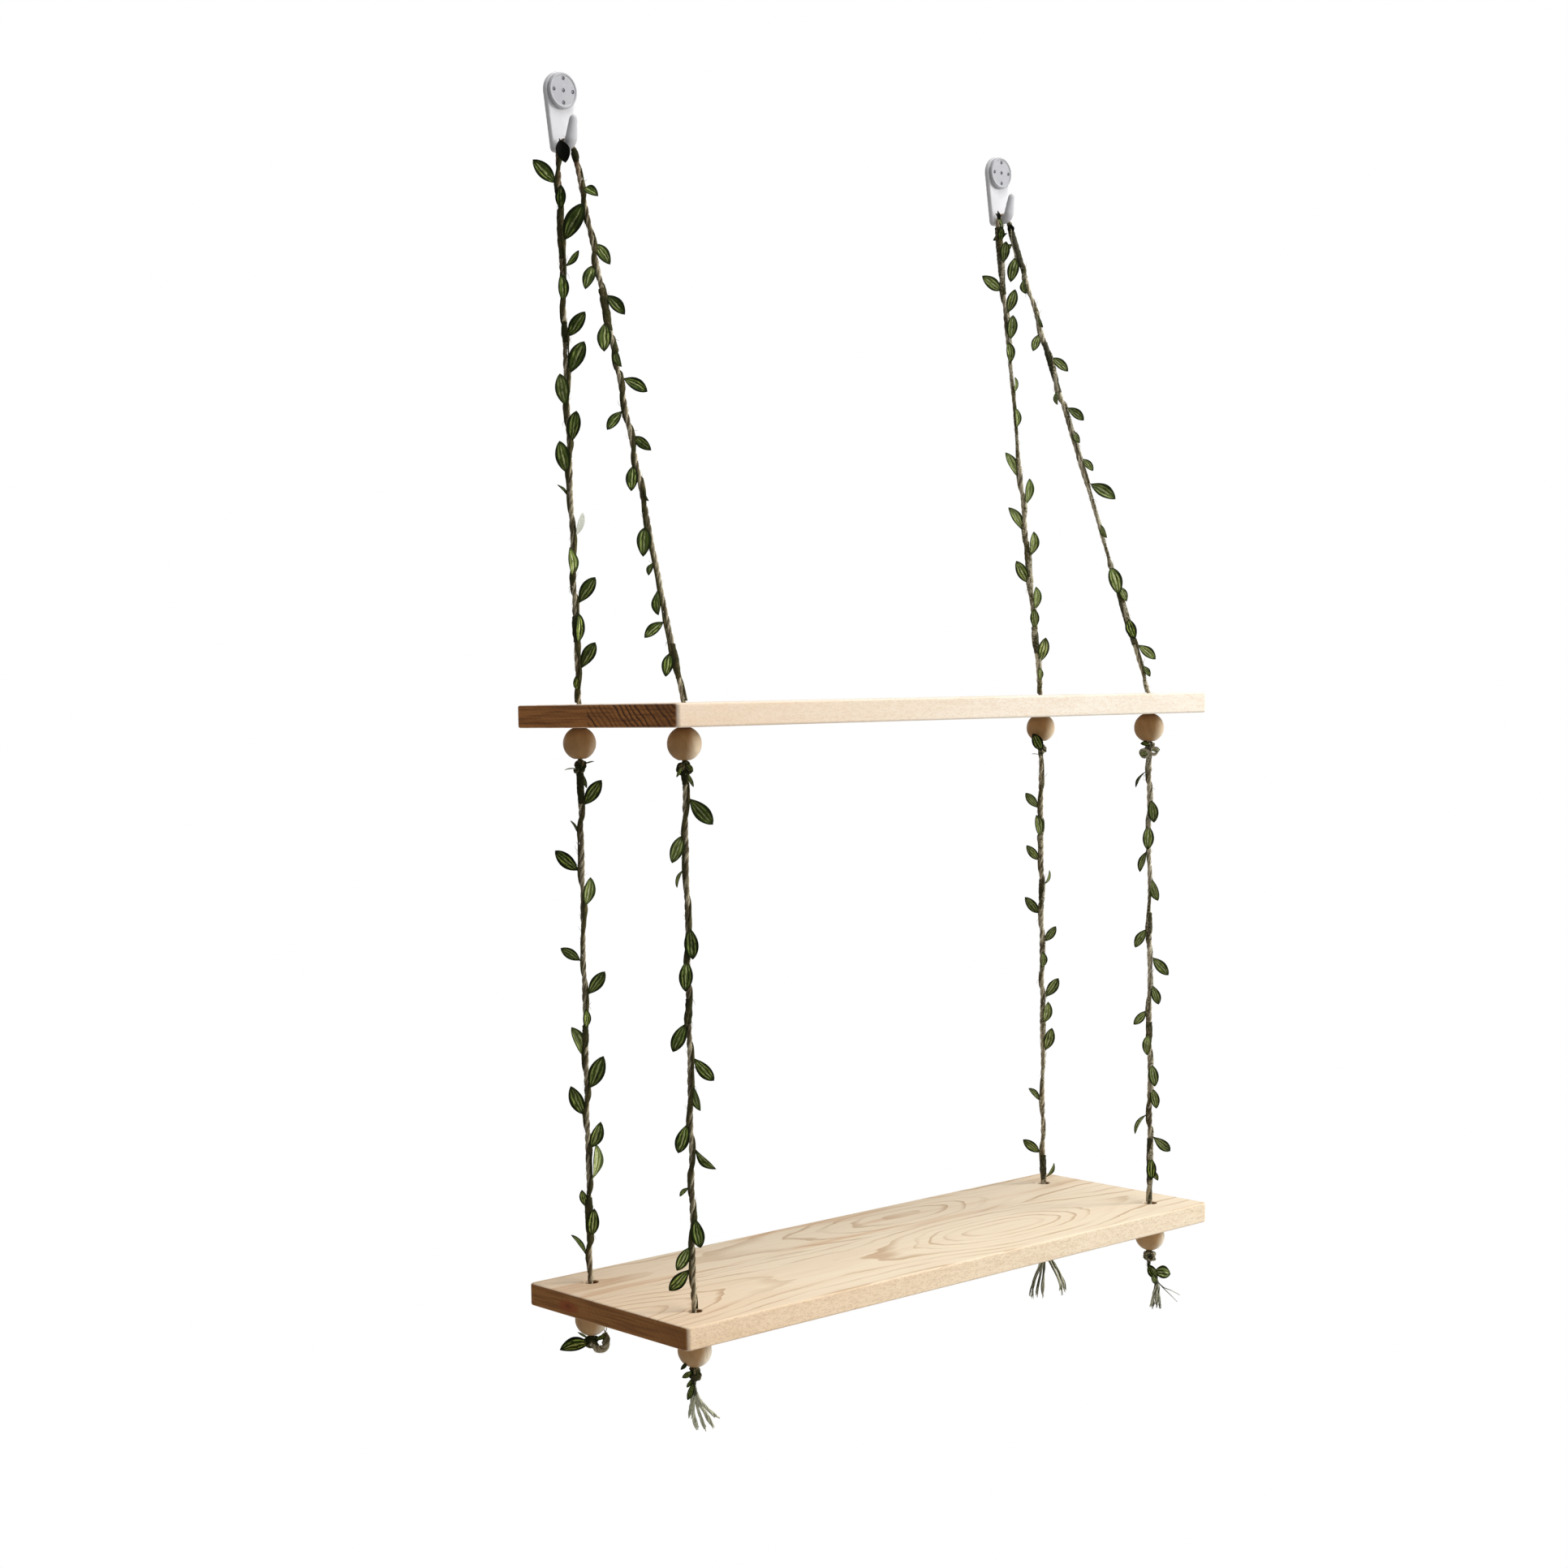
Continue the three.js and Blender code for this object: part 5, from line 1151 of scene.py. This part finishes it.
# The routes of the rope ends below the lower knots, and of the yarns that each one frays into.
# Every point is measured from the knot's centre: to the camera's right, towards it, and up.
TAILS = {
    "rear_left": (((0, 0, 0), (2.2, 0, -3.2), (5.2, 0.2, -4.2), (7.6, 0.6, -1.6), (7.4, 1, 2.4), (6.6, 1, 4.2)), ()),
    "front_left": (((0, 0, 0), (-0.8, 0, -5), (-0.4, 0, -11)), (
        ((-0.4, 0, -9), (-1.2, 1, -16), (-0.8, 0.6, -23), (1.0, 0.5, -30)),
        ((-0.4, 0, -9), (0.6, -1, -16), (2.6, -0.5, -23), (4.8, 0, -31)),
        ((-0.4, 0, -9), (1.4, 0.4, -15), (5, -0.5, -21), (9.2, 0, -29.5)),
        ((-0.4, 0, -9), (2.4, 1, -14), (7, 1.6, -18.5), (12.4, 2, -24)),
        ((-0.4, 0, -9), (-1.8, -1.8, -14), (-2.8, -2.6, -20), (-3, -3, -25)))),
    "rear_right": (((0, 0, 0), (0, 0, -6), (0.5, 0, -13)), (
        ((0.5, 0, -11), (-3, 1, -22), (-6.4, 0, -32), (-8.4, 0, -43)),
        ((0.5, 0, -11), (-1.4, -1, -23), (-3.4, -1, -33), (-4.8, -1, -43.5)),
        ((0.5, 0, -11), (0, 1.5, -23), (-0.8, 2, -33), (-1.4, 2, -42.5)),
        ((0.5, 0, -11), (4.5, 0.5, -19), (9.5, 0, -30), (11.4, 0, -41)),
        ((0.5, 0, -11), (5.5, -2, -18), (11.5, -2.5, -29), (15, -2.5, -40)))),
    "front_right": (((0, 0, 0), (-0.6, 0, -6), (2.6, 0.4, -13), (4, 0, -17)), (
        ((4, 0, -15.5), (2.6, 0.8, -22), (1.8, 0, -28), (0.8, 0, -34)),
        ((4, 0, -15.5), (5.2, -0.8, -21), (5.8, -1, -27), (5.4, -1, -34)),
        ((4, 0, -15.5), (3.8, 0.8, -22), (3.6, 1, -28), (3.2, 1, -33)))),
}
# Single yarns beside them.
THIN_YARNS = {
    "front_right": (
        ((4, 0, -15.5), (8, 1, -20), (12, 1, -24), (16.4, 1, -28.6)),
        ((4, 0, -15.5), (8, 1, -19.4), (13, 1, -21.6), (18, 1, -24.4))),
    "rear_left": (((7.4, 1, 5), (8.2, 1.2, 7.6), (8.0, 1.4, 10)), ((7.4, 1, 5), (6.6, 1.2, 7.4), (5.4, 1.4, 8.6))),
}
# How weathered the frayed yarns are.
YARN_WEAR = {"rear_right": 0.6, "front_right": 0.45}


def rope_end(side, sign, depth, y):
    name = f"{depth}_{side}"
    centre = np.array([sign * HOLE_X, y, LOWER_TOP - KNOT_DROP])
    trunk, yarns = TAILS[name]
    path = smooth_path([centre + seen(point) for point in trunk], 0.7)
    form = rope(Form(), path, ROPE_SEEN if yarns else 2.5, f"tail {name}", fuzz=0.5, lay=END_LAY,
                shade=0.35 if yarns else -0.1)
    draw = random.Random(f"yarns {name}")
    for yarn in yarns:
        middle = smooth_path([centre + seen(point) for point in yarn], 1.0)
        _, normal, binormal = frames(middle)
        share = np.linspace(0, 1, len(middle))
        for thread in range(8):
            angle, reach = draw.uniform(0, 6.28), draw.uniform(0.25, 0.72)
            sway, rate = draw.uniform(0, 1.1), draw.uniform(2, 5)
            cut = max(6, int(len(middle) * draw.uniform(0.86, 1.0)))
            open_up = reach * (1 + 1.1 * np.clip(share - 0.62, 0, 1) / 0.38)
            line = middle + polar(angle + rate * share * 2, normal, binormal) * open_up[:, None]
            sideways = sway * np.clip(share - 0.7, 0, 1) ** 1.5 * 3
            line = line + np.outer(sideways, seen((math.cos(angle), math.sin(angle), 0)))
            size = 0.42 - 0.24 * np.clip(share - 0.75, 0, 1) / 0.25
            # On the right tails every other yarn is darker: painted shadow between the yarns.
            wear_and_shade = YARN_WEAR.get(name, 0.0) + (0.5 if thread % 2 else -0.5) * (side == "right")
            wear_and_shade = wear_and_shade + 0.8 * np.clip(0.3 - share, 0, 0.3) / 0.3
            wear_and_shade = wear_and_shade + 0.65 * np.clip(share - 0.84, 0, 0.16) / 0.16 * draw.uniform(0.4, 1)
            tube(form, line[:cut], size[:cut], 6, groove=draw.uniform(0, 0.3), along=draw.uniform(0, 30),
                 shade=wear_and_shade[:cut])
    for yarn in THIN_YARNS.get(name, ()):
        middle = smooth_path([centre + seen(point) for point in yarn], 0.9)
        tube(form, middle, np.linspace(0.34, 0.16, len(middle)), 6, groove=0.2, shade=0.55)
    form.make(f"rope_end_{name}_frayed", FRAY if yarns else JUTE, "lower_tier", "jute", [f"rope_end_{name}"])


# ---------------------------------------------------------------- the whole shelf

for side, sign in SIDES:
    hook(side, sign)
    hung_rope(side, sign)
board("board_upper", UPPER_TOP, PINE_UPPER, "upper_tier")
board("board_lower", LOWER_TOP, PINE_LOWER, "lower_tier")
for side, sign in SIDES:
    for depth, y, growth in DEPTHS:
        under_board("upper", UPPER_TOP, side, sign, depth, y)
        under_board("lower", LOWER_TOP, side, sign, depth, y)
        lower_rope(side, sign, depth, y, growth)
        rope_end(side, sign, depth, y)


# ---------------------------------------------------------------- floor, world and lamps

def make_world():
    """Soft light, stronger from the upper right, that itself is seen as plain white."""
    world = bpy.data.worlds.new("studio")
    bpy.context.scene.world = world
    g = Graph(world)
    rays = g.node("ShaderNodeLightPath", output="Is Camera Ray")
    is_seen = g.math("MAXIMUM", rays, rays.output("Is Transmission Ray"))
    is_seen = g.math("MAXIMUM", is_seen, rays.output("Is Glossy Ray"))
    x, y, z = g.parts(g.node("ShaderNodeTexCoord", output="Generated"))
    strength = g.span(x * 0.7 + y * -0.35 + z * 0.6, -0.7, 1.0, 0.55, 0.08)
    light = g.node("ShaderNodeBackground", {"Color": (1.0, 0.99, 0.98, 1), "Strength": strength})
    white = g.node("ShaderNodeBackground", {"Color": (1, 1, 1, 1), "Strength": 1.0})
    g.node("ShaderNodeOutputWorld", {0: g.node("ShaderNodeMixShader", {0: is_seen, 1: light, 2: white})})


def make_floor():
    """A pale floor that goes over into white away from the shelf."""
    half, height = 12.0, -1.32
    mesh = bpy.data.meshes.new("floor")
    corners = [(-half, -half, height), (half, -half, height), (half, half, height), (-half, half, height)]
    mesh.from_pydata(corners, [], [(0, 1, 2, 3)])
    g = graph_of("floor white")
    x, y, _ = g.parts(g.node("ShaderNodeTexCoord", output="Object"))
    far = g.span(g.math("SQRT", x * x + y * y), 0.5, 1.25) * g.node("ShaderNodeLightPath", output="Is Camera Ray")
    matt = g.node("ShaderNodeBsdfDiffuse", {"Color": (0.6, 0.6, 0.6, 1)})
    white = g.node("ShaderNodeEmission", {"Color": (1, 1, 1, 1), "Strength": 1.0})
    g.node("ShaderNodeOutputMaterial", {0: g.node("ShaderNodeMixShader", {0: far, 1: matt, 2: white})})
    mesh.materials.append(g.owner)
    floor = placed("floor", mesh)


def lamp(name, place, size, power, colour=(1, 1, 1)):
    """A round lamp, aimed at the middle of the shelf. All in metres."""
    aim = Vector((0, -0.07, -0.35))
    data = bpy.data.lights.new(name, "AREA")
    data.shape, data.size, data.energy, data.color = "DISK", size, power, colour
    made = placed(name, data)
    made.location = place
    made.rotation_euler = (aim - Vector(place)).to_track_quat("-Z", "Y").to_euler()
    return made


make_world()
make_floor()
lamp("key", (3.3, -2.3, 0.7), 1.3, 128.0, (1.0, 0.99, 0.97)).visible_glossy = False
lamp("top", (0.3, -1.0, 2.2), 1.5, 38.0)
bpy.context.scene.view_settings.view_transform = "Standard"
